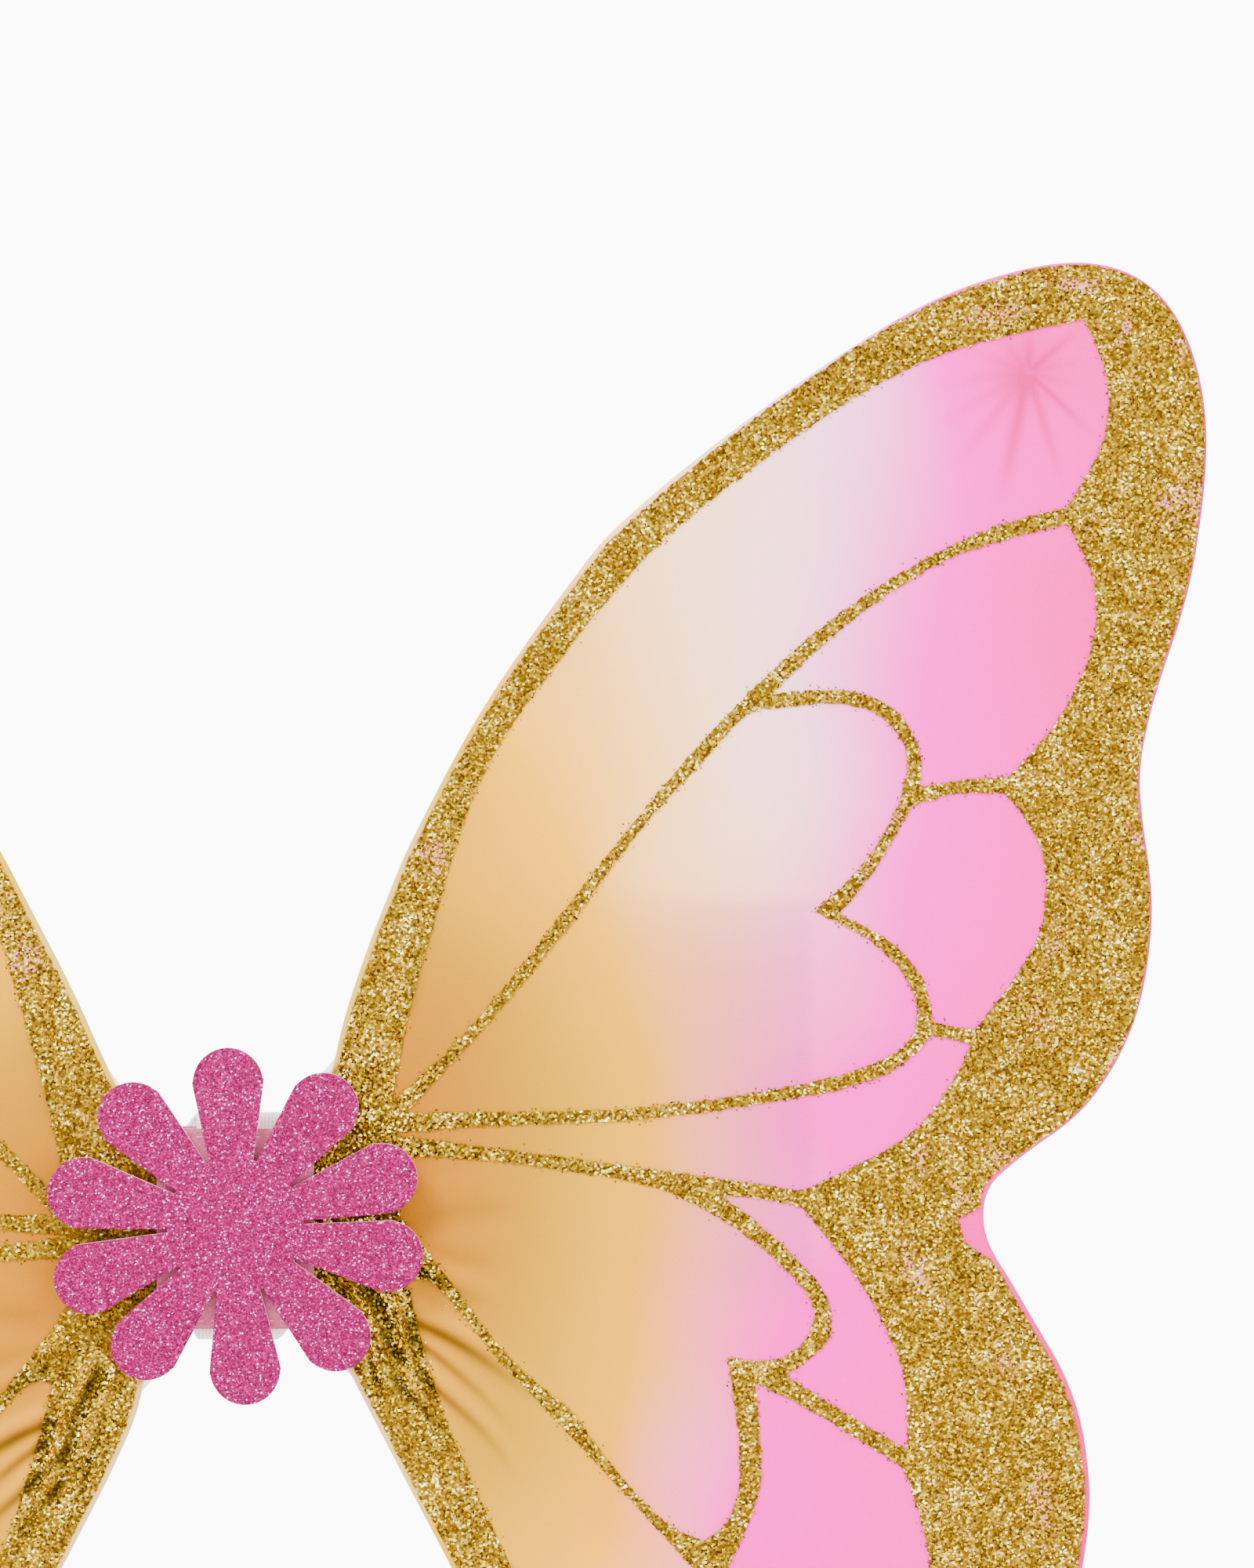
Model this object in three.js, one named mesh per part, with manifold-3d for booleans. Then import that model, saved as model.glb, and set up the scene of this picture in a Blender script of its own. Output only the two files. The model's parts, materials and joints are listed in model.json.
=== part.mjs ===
import * as THREE from 'three';
import { mergeVertices } from 'three/addons/utils/BufferGeometryUtils.js';
import Module from 'manifold-3d';

// Fairy wings for a child, in millimetres. +X is the viewer's right when the flower faces
// the viewer, +Y points to the wearer and +Z is up. The origin is the centre of the back
// pad's rear face, which lies against the wearer's back.

// Gap between pieces that touch on the real object
const SEAT = 0.3;

// Hub, from the wearer's side forwards
const PAD_WIDTH = 46;
const PAD_HEIGHT = 58.5;
const PAD_THICKNESS = 3;
const PAD_CORNER = 3;
const BINDING_WIDTH = 38;
const BINDING_HEIGHT = 48;
const BINDING_THICKNESS = 8;
const GLUE_RADIUS = 15;
const GLUE_THICKNESS = 1.2;

// Flower, cut from foam sheet: a petal's direction in degrees, for each of the ten petals
const FOAM_THICKNESS = 2;
const PETAL_DIRECTIONS = [92.7, 53.3, 18, -11, -47.4, -85.9, -126.8, -160.3, 167.6, 133];
const FLOWER_RAISE = 0.9;
const FLOWER_HALF_WIDTH = 55.9;
const FLOWER_HALF_HEIGHT = 52.2;
const PETAL_TIP_RADIUS = 10.3;
const SLIT_INNER_RADIUS = 20;
const SLIT_WIDTH = 1;

// Each wing, from the flower's centre to its tip and from its top to its lowest point
const WING_REACH = 284.6;
const WING_HEIGHT = 486;

// Wing build-up, from the wire outwards
const WIRE_DIAMETER = 2.4;
const WIRE_SIDES = 8;
const SKIN_THICKNESS = 0.6;
const GLITTER_THICKNESS = 0.4;
const BARE_RIM = 1.6;
const SLEEVE_LENGTH = 14;
const SLEEVE_WALL = 0.5;

// Hinge of each wing: the upright stretch of its wire, in a channel through the binding
const HINGE_X = 15;
const NECK_CLEARANCE = 2;
const NECK_TOP = 18;
const NECK_BOTTOM = -20;

// The left wing is bound into the hub lower and a little further out than the right one
const LEFT_WING_DROP = 30;
const LEFT_WING_OUT = 4;

// Gathered and tied end of the fabric, behind the wing's upper tip
const GATHER_RADIUS = 6.5;
const GATHER_NECK_RADIUS = 2;
const GATHER_HEIGHT = 6.4;
const GATHER_NECK_FROM = 1.8;
const GATHER_NECK_TO = 3.4;
const TIE_WALL = 1;
const TIE_HEIGHT = 1.2;

// Arm loops of flat elastic
const STRAP_WIDTH = 10;
const STRAP_THICKNESS = 1.4;
const STRAP_X = 7;
const STRAP_REACH = 128;
const STRAP_RISE = 2.6;
const STRAP_SPLAY = 10;
const STRAP_TAIL = 14;

// What follows from the sizes above
const BINDING_REAR = -(PAD_THICKNESS + SEAT);
const BINDING_FRONT = BINDING_REAR - BINDING_THICKNESS;
const WING_Y = (BINDING_REAR + BINDING_FRONT) / 2;
const PAD_FRONT_REAR = BINDING_FRONT - SEAT;
const GLUE_REAR = PAD_FRONT_REAR - PAD_THICKNESS - SEAT;
const FLOWER_REAR = GLUE_REAR - GLUE_THICKNESS - SEAT;
const WIRE_RADIUS = WIRE_DIAMETER / 2;
const SLEEVE_BORE = WIRE_RADIUS + SEAT;
const SLEEVE_RADIUS = SLEEVE_BORE + SLEEVE_WALL;
const CHANNEL_RADIUS = SLEEVE_RADIUS + SEAT;
const SKIN_INNER = WIRE_RADIUS + SEAT;
const SKIN_OUTER = SKIN_INNER + SKIN_THICKNESS;
const GLITTER_INNER = SKIN_OUTER + SEAT;
const WIRE_INSET = WIRE_RADIUS + 0.2;
const NECK_X = PAD_WIDTH / 2 + NECK_CLEARANCE;
const STRAP_Y = BINDING_REAR - STRAP_THICKNESS / 2;
const TAIL_TOP = PAD_HEIGHT / 2 + 0.45;
const STRAP_START = TAIL_TOP + SEAT;

// The wing's points are drawn at the size of the real one, from its neck outwards
const DRAWN_REACH = 284.6;
const DRAWN_HEIGHT = 486;
const WIDER = (WING_REACH - NECK_X) / (DRAWN_REACH - NECK_X);
const TALLER = WING_HEIGHT / DRAWN_HEIGHT;
const stretch = ([x, z]) => [Math.min(x, NECK_X) + Math.max(x - NECK_X, 0) * WIDER, z * TALLER];
const GATHER_AT = stretch([232.3, 250.7]);

// Edge of both wings, from the leading edge out round the tip, the waist and the lower lobe
const WING_EDGE = [
  [52.7, 116.2], [72.7, 153], [98.4, 189.8], [114.5, 208.2], [148.4, 235.8], [188.8, 263.4],
  [217, 277], [245.6, 283], [266.3, 277.3], [279.2, 260], [284.6, 231], [279.9, 189.8],
  [268.8, 153], [265.1, 129], [268.6, 93.2], [263.6, 61], [249.5, 36], [229.5, 20],
  [220.4, 10.4], [220.3, -3.5], [230.7, -21.9], [246.8, -53.8], [249, -95], [231, -150],
  [190, -196], [143, -203], [98, -165], [62, -98], [39, -54], [32.5, -41],
].map(stretch);
const WING_TOP = Math.max(...WING_EDGE.map(([, z]) => z));
const INNER_EDGE_X = stretch([98, 0])[0];

// Where each wing narrows to its neck, before and after the shared edge
const RIGHT_NECK = {
  above: [[NECK_X, NECK_TOP],
    ...[[26, 31], [28, 45], [31.5, 61], [37.5, 79.4], [44.6, 97.8]].map(stretch)],
  below: [stretch([28, -30]), [NECK_X, NECK_BOTTOM]],
  wireAbove: [[15.5, 30], [18.5, 36], [23.5, 42]],
  wireBelow: [[27, -36.5], [19.5, -32.5], [15.8, -28.5]],
  wireJoins: [47, -42],
};
const LEFT_NECK = {
  above: [[NECK_X - LEFT_WING_OUT, NECK_TOP + LEFT_WING_DROP],
    ...[[26, 62], [31.5, 72], [36, 81.5], [43, 97]].map(stretch)],
  below: [...[[25.3, -24], [22.5, -8]].map(stretch),
    [NECK_X - LEFT_WING_OUT, NECK_BOTTOM + LEFT_WING_DROP]],
  wireAbove: [[11.6, 57], [15, 59.6], [21, 62.6], [28, 67], [32.6, 73]],
  wireBelow: [[19, -11], [14.5, -4], [11.8, 2]],
  wireJoins: [76, -18],
};

// Windows in the glitter. Each is a ring of smooth edges that meet at corners.
const WINDOWS = [
  // long upper window, under the leading border
  [[[45.6, 36.6], [50, 60], [58, 90], [71, 130], [90, 160], [120, 196.5], [150, 221.5],
    [180, 242.5], [210, 257], [248.5, 266.2]],
  [[248.5, 266.2], [255.2, 249], [254, 230], [243.3, 210.8]],
  [[243.3, 210.8], [220, 204.5], [190, 189], [160, 166], [130, 135], [100, 98], [70, 60.3],
    [45.6, 36.6]]],
  // outer window below the tip
  [[[157, 156.3], [180, 177.5], [210, 196.5], [243.5, 206]],
    [[243.5, 206], [251, 191], [251, 171], [241, 149], [226.5, 132]],
    [[226.5, 132], [213, 131.2], [200.4, 129]],
    [[200.4, 129], [200.4, 139.5], [193, 151.8], [178, 157.5], [157, 156.3]]],
  // two-lobed middle window
  [[[49.8, 33.6], [60, 44.8], [80, 67], [100, 91.5], [120, 118.5], [150, 150.3]],
    [[150, 150.3], [172, 153.7], [188, 150.3], [196.3, 139], [194, 124], [184, 107],
      [169.5, 92.5]],
    [[169.5, 92.5], [185, 84.5], [197, 72], [198.6, 57], [184, 47], [155, 40], [110, 34.5],
      [49.8, 33.6]]],
  // outer window at the waist
  [[[198, 123.5], [211, 127.1], [225.3, 127.5]],
    [[225.3, 127.5], [236, 110.5], [235, 85], [216.5, 57.8]],
    [[216.5, 57.8], [210, 58.9], [204, 60.2]],
    [[204, 60.2], [201.5, 72], [192, 83.5], [176.5, 92]],
    [[176.5, 92], [187, 104.5], [198, 123.5]]],
  // long lower window of the upper lobe
  [[[43.5, 27.7], [80, 30], [120, 31.7], [170, 39], [192, 45.7], [203.5, 56]],
    [[203.5, 56], [209, 55.2], [215.5, 53.6]],
    [[215.5, 53.6], [203, 32.5], [185, 19.7], [165.5, 11]],
    [[165.5, 11], [140, 14.5], [100, 20], [70, 23.8], [43.5, 27.7]]],
  // large window of the lower lobe
  [[[40, 21], [60, 20.6], [90, 17.6], [120, 12.3], [140, 3.7], [160, -11.4], [170, -26],
    [160, -38.3], [143.8, -38.2]],
  [[143.8, -38.2], [146.5, -56], [147, -78], [137, -92], [118, -79], [99, -55]],
  [[99, -55], [80, -38], [66, -20.5], [55, -6], [47, 5], [40, 21]]],
  // outer window below the waist
  [[[141.8, 9.4], [154, 8.4], [165.7, 6]],
    [[165.7, 6], [184, -18], [195.5, -43], [196.5, -65]],
    [[196.5, -65], [178, -54], [161, -43.3]],
    [[161, -43.3], [173, -33.5], [172, -18.5], [155, -0.5], [141.8, 9.4]]],
  // outer window of the lower lobe
  [[[152, -45.5], [170, -54.5], [195, -70.5]],
    [[195, -70.5], [203, -97], [198, -127], [182, -150]],
    [[182, -150], [164, -124], [144, -100]],
    [[144, -100], [153.5, -76], [152, -45.5]]],
  // lowest window, beside the inner edge
  [[[50, -16.5], [58, -16.5], [75, -36.5], [103, -66.5], [135, -101]],
    [[135, -101], [156, -126], [176, -152.5]],
    [[176, -152.5], [164, -176], [138, -181], [110, -157], [84, -107], [61, -55],
      [50, -16.5]]],
];

// Bare wedge in the glitter at the waist
const WEDGE = [[218, 5.6], [211.2, 2.4], [214.5, -5.2]].map(stretch);
const WEDGE_REACH = 8;

const wasm = await Module();
wasm.setup();

function material(color, roughness, metalness = 0) {
  return new THREE.MeshStandardMaterial({ color, roughness, metalness });
}

const PINK_FOAM = () => material('#bd4a78', 0.45);
const PALE_FELT = () => material('#e3b7c4', 0.95);
const TAPE = () => material('#efe9e2', 0.8);
const GLUE = () => material('#efe6cf', 0.35);
const ELASTIC = () => material('#f6f3ee', 0.85);
const WIRE = () => material('#ece7e0', 0.5);
const CRIMP = () => material('#b9bcc0', 0.35, 1);
const NYLON = () => material('#f6c9cf', 0.7);
const GOLD = () => material('#b99a4e', 0.4, 0.7);
const THREAD = () => material('#f7a3cf', 0.8);

function mesh(name, geometry, finish) {
  const piece = new THREE.Mesh(geometry, finish);
  piece.name = name;
  return piece;
}

function toSolid(geometry) {
  const bare = geometry.clone();
  bare.deleteAttribute('normal');
  bare.deleteAttribute('uv');
  const merged = mergeVertices(bare);
  return new wasm.Manifold(new wasm.Mesh({
    numProp: 3,
    vertProperties: new Float32Array(merged.attributes.position.array),
    triVerts: new Uint32Array(merged.index.array),
  }));
}

function toGeometry(solid) {
  const { vertProperties, triVerts } = solid.getMesh();
  const geometry = new THREE.BufferGeometry();
  geometry.setAttribute('position', new THREE.BufferAttribute(vertProperties, 3));
  geometry.setIndex(new THREE.BufferAttribute(triVerts, 1));
  return geometry;
}

function cut(geometry, tools) {
  return toGeometry(tools.reduce((solid, tool) => solid.subtract(toSolid(tool)), toSolid(geometry)));
}

// An upright plate from an outline in X and Z, with its rear face at the given Y
function plate(shape, thickness, rear) {
  const options = { depth: thickness, bevelEnabled: false, curveSegments: 6 };
  return new THREE.ExtrudeGeometry(shape, options).rotateX(Math.PI / 2).translate(0, rear, 0);
}

function box(width, depth, height, x, y, z) {
  return new THREE.BoxGeometry(width, depth, height).translate(x, y, z);
}

function uprightCylinder(radius, height, x, y, z) {
  return new THREE.CylinderGeometry(radius, radius, height, 24).rotateX(Math.PI / 2)
    .translate(x, y, z);
}

const vectors = (pairs) => pairs.map(([x, z]) => new THREE.Vector2(x, z));

// A smooth edge through its points, with two short chords for each span
function smooth(pairs, chords = 2) {
  return new THREE.SplineCurve(vectors(pairs)).getPoints((pairs.length - 1) * chords);
}

function ring(edges) {
  return edges.flatMap((edge) => smooth(edge.map(stretch)).slice(0, -1));
}

// The same edge moved towards the inside by a distance. The edge runs clockwise.
function inset(points, distance, closed) {
  const last = points.length - 1;
  return points.map((point, i) => {
    const before = points[closed ? (i + last) % (last + 1) : Math.max(i - 1, 0)];
    const after = points[closed ? (i + 1) % (last + 1) : Math.min(i + 1, last)];
    const along = after.clone().sub(before).normalize();
    return new THREE.Vector2(point.x + along.y * distance, point.y - along.x * distance);
  });
}

function wingEdge(neck) {
  return smooth([...neck.above, ...WING_EDGE, ...neck.below], 3);
}

function skin(edge, front) {
  const rear = front ? -SKIN_INNER : SKIN_OUTER;
  return plate(new THREE.Shape(edge), SKIN_THICKNESS, rear);
}

function glitter(edge) {
  const rim = inset(edge, BARE_RIM, true);
  const inWedge = (point) => point.x > WEDGE[1][0] && Math.abs(point.y) < WEDGE_REACH;
  const first = rim.findIndex(inWedge);
  const outline = rim.filter((point) => !inWedge(point));
  outline.splice(first, 0, ...vectors(WEDGE));
  const shape = new THREE.Shape(outline.toReversed());
  shape.holes = WINDOWS.map((edges) => new THREE.Path(ring(edges)));
  return plate(shape, GLITTER_THICKNESS, -GLITTER_INNER);
}

// Steps follow the route's own points, so tight bends get as many as long curves
class Route extends THREE.CatmullRomCurve3 {
  getUtoTmapping(u) {
    return u;
  }
}

function frameWire(edge, neck, hingeX, middle) {
  const [above, below] = neck.wireJoins;
  const tip = edge.findIndex((point) => point.y === WING_TOP);
  const joins = (point, i) => (i < tip ? point.y > above : point.x > edge.at(-1).x
    && (point.y < below || point.x > INNER_EDGE_X));
  const round = inset(edge, WIRE_INSET, false).filter(joins);
  const half = BINDING_HEIGHT / 2;
  const upright = [SEAT / 2, half / 3, half / 1.5, half];
  const route = [
    ...upright.map((height) => [hingeX, middle + height]),
    ...neck.wireAbove,
    ...round.map((point) => [point.x, point.y]),
    ...neck.wireBelow,
    ...upright.toReversed().map((height) => [hingeX, middle - height]),
  ];
  const path = new Route(route.map(([x, z]) => new THREE.Vector3(x, 0, z)), false, 'centripetal');
  const section = new THREE.Shape().absarc(0, 0, WIRE_RADIUS, 0, 2 * Math.PI);
  return new THREE.ExtrudeGeometry(section, {
    steps: route.length - 1,
    curveSegments: WIRE_SIDES / 2,
    extrudePath: path,
  });
}

// Crimped sleeve over the two ends of the wire, inside the channel
function wireSleeve(hingeX, middle) {
  const half = SLEEVE_LENGTH / 2;
  const profile = [[SLEEVE_BORE, -half], [SLEEVE_RADIUS, -half], [SLEEVE_RADIUS, half],
    [SLEEVE_BORE, half], [SLEEVE_BORE, -half]];
  return new THREE.LatheGeometry(vectors(profile), 20).rotateX(Math.PI / 2)
    .translate(hingeX, 0, middle);
}

function tipGather() {
  const tuft = GATHER_HEIGHT - GATHER_NECK_TO;
  const profile = [[0, 0], [GATHER_RADIUS, 0], [GATHER_RADIUS * 0.92, GATHER_NECK_FROM * 0.45],
    [GATHER_NECK_RADIUS, GATHER_NECK_FROM], [GATHER_NECK_RADIUS, GATHER_NECK_TO],
    [GATHER_RADIUS * 0.74, GATHER_NECK_TO + tuft * 0.4],
    [GATHER_RADIUS * 0.65, GATHER_NECK_TO + tuft * 0.87], [0, GATHER_HEIGHT]];
  return new THREE.LatheGeometry(vectors(profile), 16)
    .translate(GATHER_AT[0], SKIN_OUTER + SEAT, GATHER_AT[1]);
}

function tipTie() {
  const bore = GATHER_NECK_RADIUS + SEAT;
  const middle = (GATHER_NECK_FROM + GATHER_NECK_TO) / 2;
  const low = middle - TIE_HEIGHT / 2;
  const high = middle + TIE_HEIGHT / 2;
  const profile = [[bore, low], [bore + TIE_WALL, low], [bore + TIE_WALL, high], [bore, high],
    [bore, low]];
  return new THREE.LatheGeometry(vectors(profile), 16)
    .translate(GATHER_AT[0], SKIN_OUTER + SEAT, GATHER_AT[1]);
}

function wing(side, neck, hingeX, middle) {
  const edge = wingEdge(neck);
  const group = new THREE.Group();
  group.add(
    mesh(`${side}_frame_wire`, frameWire(edge, neck, hingeX, middle), WIRE()),
    mesh(`${side}_wire_sleeve`, wireSleeve(hingeX, middle), CRIMP()),
    mesh(`${side}_front_skin`, skin(edge, true), NYLON()),
    mesh(`${side}_back_skin`, skin(edge, false), NYLON()),
    mesh(`${side}_glitter`, glitter(edge), GOLD()),
    mesh(`${side}_tip_gather`, tipGather(), NYLON()),
    mesh(`${side}_tip_tie`, tipTie(), THREAD()),
  );
  return group;
}

function roundedPad() {
  const x = PAD_WIDTH / 2;
  const z = PAD_HEIGHT / 2;
  const shape = new THREE.Shape();
  shape.absarc(x - PAD_CORNER, z - PAD_CORNER, PAD_CORNER, 0, Math.PI / 2);
  shape.absarc(PAD_CORNER - x, z - PAD_CORNER, PAD_CORNER, Math.PI / 2, Math.PI);
  shape.absarc(PAD_CORNER - x, PAD_CORNER - z, PAD_CORNER, Math.PI, 1.5 * Math.PI);
  shape.absarc(x - PAD_CORNER, PAD_CORNER - z, PAD_CORNER, 1.5 * Math.PI, 2 * Math.PI);
  return shape;
}

// The four strap tails lie in pockets in the binding's rear face
const tailMiddle = TAIL_TOP - STRAP_TAIL / 2;
const tailPlaces = [['right', 'upper', 1, 1], ['right', 'lower', 1, -1],
  ['left', 'upper', -1, 1], ['left', 'lower', -1, -1]];

function centreBinding() {
  const channels = [-1, 1].map((side) => uprightCylinder(CHANNEL_RADIUS, BINDING_HEIGHT + 2,
    side * HINGE_X, WING_Y, 0));
  const depth = STRAP_THICKNESS + SEAT;
  const pockets = tailPlaces.map(([, , side, end]) => box(STRAP_WIDTH + 2 * SEAT, 2 * depth,
    STRAP_TAIL + 2 * SEAT, side * STRAP_X, BINDING_REAR, end * tailMiddle));
  const block = box(BINDING_WIDTH, BINDING_THICKNESS, BINDING_HEIGHT, 0, WING_Y, 0);
  return cut(block, [...channels, ...pockets]);
}

const polar = (radius, angle) => new THREE.Vector2(radius * Math.cos(angle), radius * Math.sin(angle));

// Ten petals with round tips, parted by narrow slits that stop short of the middle
function flowerOutline() {
  const directions = PETAL_DIRECTIONS.map((degrees) => THREE.MathUtils.degToRad(degrees));
  const count = directions.length;
  const turnTo = (from, to) => THREE.MathUtils.euclideanModulo(from - to, 2 * Math.PI);
  const points = [];
  directions.forEach((direction, i) => {
    const halfBefore = turnTo(directions[(i + count - 1) % count], direction) / 2;
    const halfAfter = turnTo(direction, directions[(i + 1) % count]) / 2;
    const reach = 1 / Math.hypot(Math.cos(direction) / FLOWER_HALF_WIDTH,
      Math.sin(direction) / FLOWER_HALF_HEIGHT);
    const tip = polar(reach - PETAL_TIP_RADIUS, direction);
    const slitSide = Math.asin(SLIT_WIDTH / 2 / SLIT_INNER_RADIUS);
    const start = polar(SLIT_INNER_RADIUS, direction + halfBefore - slitSide);
    const end = polar(SLIT_INNER_RADIUS, direction - halfAfter + slitSide);
    const tangent = (corner, sign) => {
      const back = corner.clone().sub(tip);
      return back.angle() - sign * Math.acos(PETAL_TIP_RADIUS / back.length());
    };
    const from = tangent(start, 1);
    const sweep = turnTo(from, tangent(end, -1));
    const arc = Array.from({ length: 13 }, (_, k) => polar(PETAL_TIP_RADIUS, from - sweep * k / 12)
      .add(tip));
    points.push(start, ...arc, end);
  });
  return new THREE.Shape(points);
}

// Upper half of an arm loop, seen from the side: distance behind its tails, and height
const LOOP_HALF = [
  [0, STRAP_START], [0.2, STRAP_START + 0.6 * STRAP_RISE], [2, STRAP_START + STRAP_RISE],
  ...[[0.05, 0.99], [0.25, 0.84], [0.5, 0.73], [0.75, 0.61], [0.93, 0.39], [1, 0]]
    .map(([depth, height]) => [STRAP_REACH * depth, (STRAP_START + STRAP_RISE) * height]),
];

function armLoop() {
  const lower = LOOP_HALF.slice(0, -1).toReversed().map(([depth, height]) => [depth, -height]);
  const middle = smooth([...LOOP_HALF, ...lower], 3);
  const outer = inset(middle, -STRAP_THICKNESS / 2, false);
  const inner = inset(middle, STRAP_THICKNESS / 2, false);
  const band = new THREE.Shape([...outer, ...inner.toReversed()]);
  const toWorld = new THREE.Matrix4().makeBasis(new THREE.Vector3(0, 1, 0),
    new THREE.Vector3(0, 0, 1), new THREE.Vector3(1, 0, 0));
  return new THREE.ExtrudeGeometry(band, { depth: STRAP_WIDTH, bevelEnabled: false })
    .translate(0, 0, -STRAP_WIDTH / 2).applyMatrix4(toWorld);
}

function strap(side, sign) {
  const group = new THREE.Group();
  group.add(mesh(`${side}_strap`, armLoop(), ELASTIC()));
  group.position.set(sign * STRAP_X, STRAP_Y, 0);
  group.rotation.z = -sign * THREE.MathUtils.degToRad(STRAP_SPLAY);
  return group;
}

function hub() {
  const group = new THREE.Group();
  const disc = new THREE.CylinderGeometry(GLUE_RADIUS, GLUE_RADIUS, GLUE_THICKNESS, 32)
    .translate(0, GLUE_REAR - GLUE_THICKNESS / 2, 0);
  group.add(
    mesh('flower', plate(flowerOutline(), FOAM_THICKNESS, FLOWER_REAR)
      .translate(0, 0, FLOWER_RAISE), PINK_FOAM()),
    mesh('flower_glue', disc, GLUE()),
    mesh('front_pad', plate(roundedPad(), PAD_THICKNESS, PAD_FRONT_REAR), PALE_FELT()),
    mesh('centre_binding', centreBinding(), TAPE()),
    mesh('back_pad', plate(roundedPad(), PAD_THICKNESS, 0), PALE_FELT()),
  );
  tailPlaces.forEach(([side, end, x, z]) => group.add(mesh(`${side}_strap_${end}_tail`,
    box(STRAP_WIDTH, STRAP_THICKNESS, STRAP_TAIL, x * STRAP_X, STRAP_Y, z * tailMiddle),
    ELASTIC())));
  return group;
}

const rightWing = wing('right', RIGHT_NECK, HINGE_X, 0);
rightWing.position.set(0, WING_Y, 0);

const leftWing = wing('left', LEFT_NECK, HINGE_X - LEFT_WING_OUT, LEFT_WING_DROP);
leftWing.position.set(-LEFT_WING_OUT, WING_Y, -LEFT_WING_DROP);
leftWing.scale.x = -1;

const group = new THREE.Group();
group.add(hub(), rightWing, leftWing, strap('right', 1), strap('left', -1));

export default group;
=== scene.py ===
import json
import math

import bmesh
import bpy
import numpy as np
from bpy.props import FloatProperty, FloatVectorProperty, IntProperty, PointerProperty
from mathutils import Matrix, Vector
from mathutils.geometry import delaunay_2d_cdt
from mathutils.kdtree import KDTree


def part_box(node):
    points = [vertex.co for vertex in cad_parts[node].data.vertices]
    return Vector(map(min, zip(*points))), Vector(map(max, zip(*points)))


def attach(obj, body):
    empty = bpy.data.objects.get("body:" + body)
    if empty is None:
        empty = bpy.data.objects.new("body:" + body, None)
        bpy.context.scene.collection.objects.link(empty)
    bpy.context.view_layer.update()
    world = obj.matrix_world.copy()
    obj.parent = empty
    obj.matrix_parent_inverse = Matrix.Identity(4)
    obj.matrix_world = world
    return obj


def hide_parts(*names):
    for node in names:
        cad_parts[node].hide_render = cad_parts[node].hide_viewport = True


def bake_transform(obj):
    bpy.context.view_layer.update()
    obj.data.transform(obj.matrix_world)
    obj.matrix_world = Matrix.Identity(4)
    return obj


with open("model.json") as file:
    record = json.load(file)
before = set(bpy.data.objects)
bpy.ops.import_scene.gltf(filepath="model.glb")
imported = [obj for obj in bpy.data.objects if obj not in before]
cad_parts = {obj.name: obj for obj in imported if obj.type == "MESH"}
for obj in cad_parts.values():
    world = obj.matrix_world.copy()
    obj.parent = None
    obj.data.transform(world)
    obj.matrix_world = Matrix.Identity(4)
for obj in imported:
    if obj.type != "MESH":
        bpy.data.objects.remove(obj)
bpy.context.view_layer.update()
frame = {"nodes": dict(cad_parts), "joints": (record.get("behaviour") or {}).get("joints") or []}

bl_info = {
    "name": "Fairy Wings",
    "version": (1, 0, 0),
    "blender": (4, 5, 0),
    "location": "View3D > Sidebar > Fairy Wings",
    "description": "Nylon fairy wings with a glitter foam flower and elastic arm loops",
    "category": "Add Mesh",
}

MM = 0.001
SIDES = ("right", "left")
# A sharper turn of an outline than this is a real corner
CORNER = math.radians(38)
# How far the open end of a wing's cloth reaches in under the pads, in mm
TUCK = 4.3


# Colours and sizes ------------------------------------------------------------------------

def srgb(code):
    """Red, green and blue of an sRGB hex colour, from 0 to 1."""
    return np.array([int(code[i:i + 2], 16) / 255 for i in (1, 3, 5)])


def to_linear(parts):
    """Linear values of sRGB ones."""
    return np.where(parts <= 0.04045, parts / 12.92, ((parts + 0.055) / 1.055) ** 2.4)


def linear(code):
    """Linear red, green, blue and alpha of an sRGB hex colour."""
    return (*to_linear(srgb(code)).tolist(), 1.0)


def colour(name, description, code):
    return FloatVectorProperty(name=name, description=description, default=linear(code),
                               subtype="COLOR", size=4, min=0, max=1)


def length(name, description, millimetres):
    return FloatProperty(name=name, description=description, default=millimetres * MM,
                         subtype="DISTANCE", unit="LENGTH", min=0, precision=5)


class FairyWingsSizes(bpy.types.PropertyGroup):
    cloth_step: length("Cloth step", "Distance between the points of a plain stretch of nylon", 3.2)
    fold_step: length("Fold step", "Distance between points where the nylon is pleated", 0.9)
    edge_step: length("Edge step", "Distance between points along a wing's edge", 1.1)
    nylon: length("Nylon thickness", "Thickness of the knit", 0.2)
    drape: length("Drape", "How far the nylon stands off the wing's middle plane", 0.75)
    glitter: length("Glitter thickness", "Thickness of the glitter and its binder", 0.3)
    ragged: length("Ragged edge", "How far the printed glitter strays from its edge", 0.34)
    flake: length("Gold flake", "Width of a glitter flake", 0.62)
    fine_flake: length("Foam flake", "Width of a flake on the foam sheet", 0.4)
    rib: length("Knit rib", "Distance between two ribs of the nylon knit", 0.8)
    stitch: length("Stitch", "Length of one running stitch", 2.6)
    dye_strength: FloatProperty(name="Dye strength", min=0.5, max=3, default=2.05,
                                description="How deep the dye is: 1 is a light bath, 2 a strong one")
    strays: IntProperty(name="Stray flakes", description="Loose flakes beside the glitter of a wing",
                        default=2600, min=0)


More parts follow.
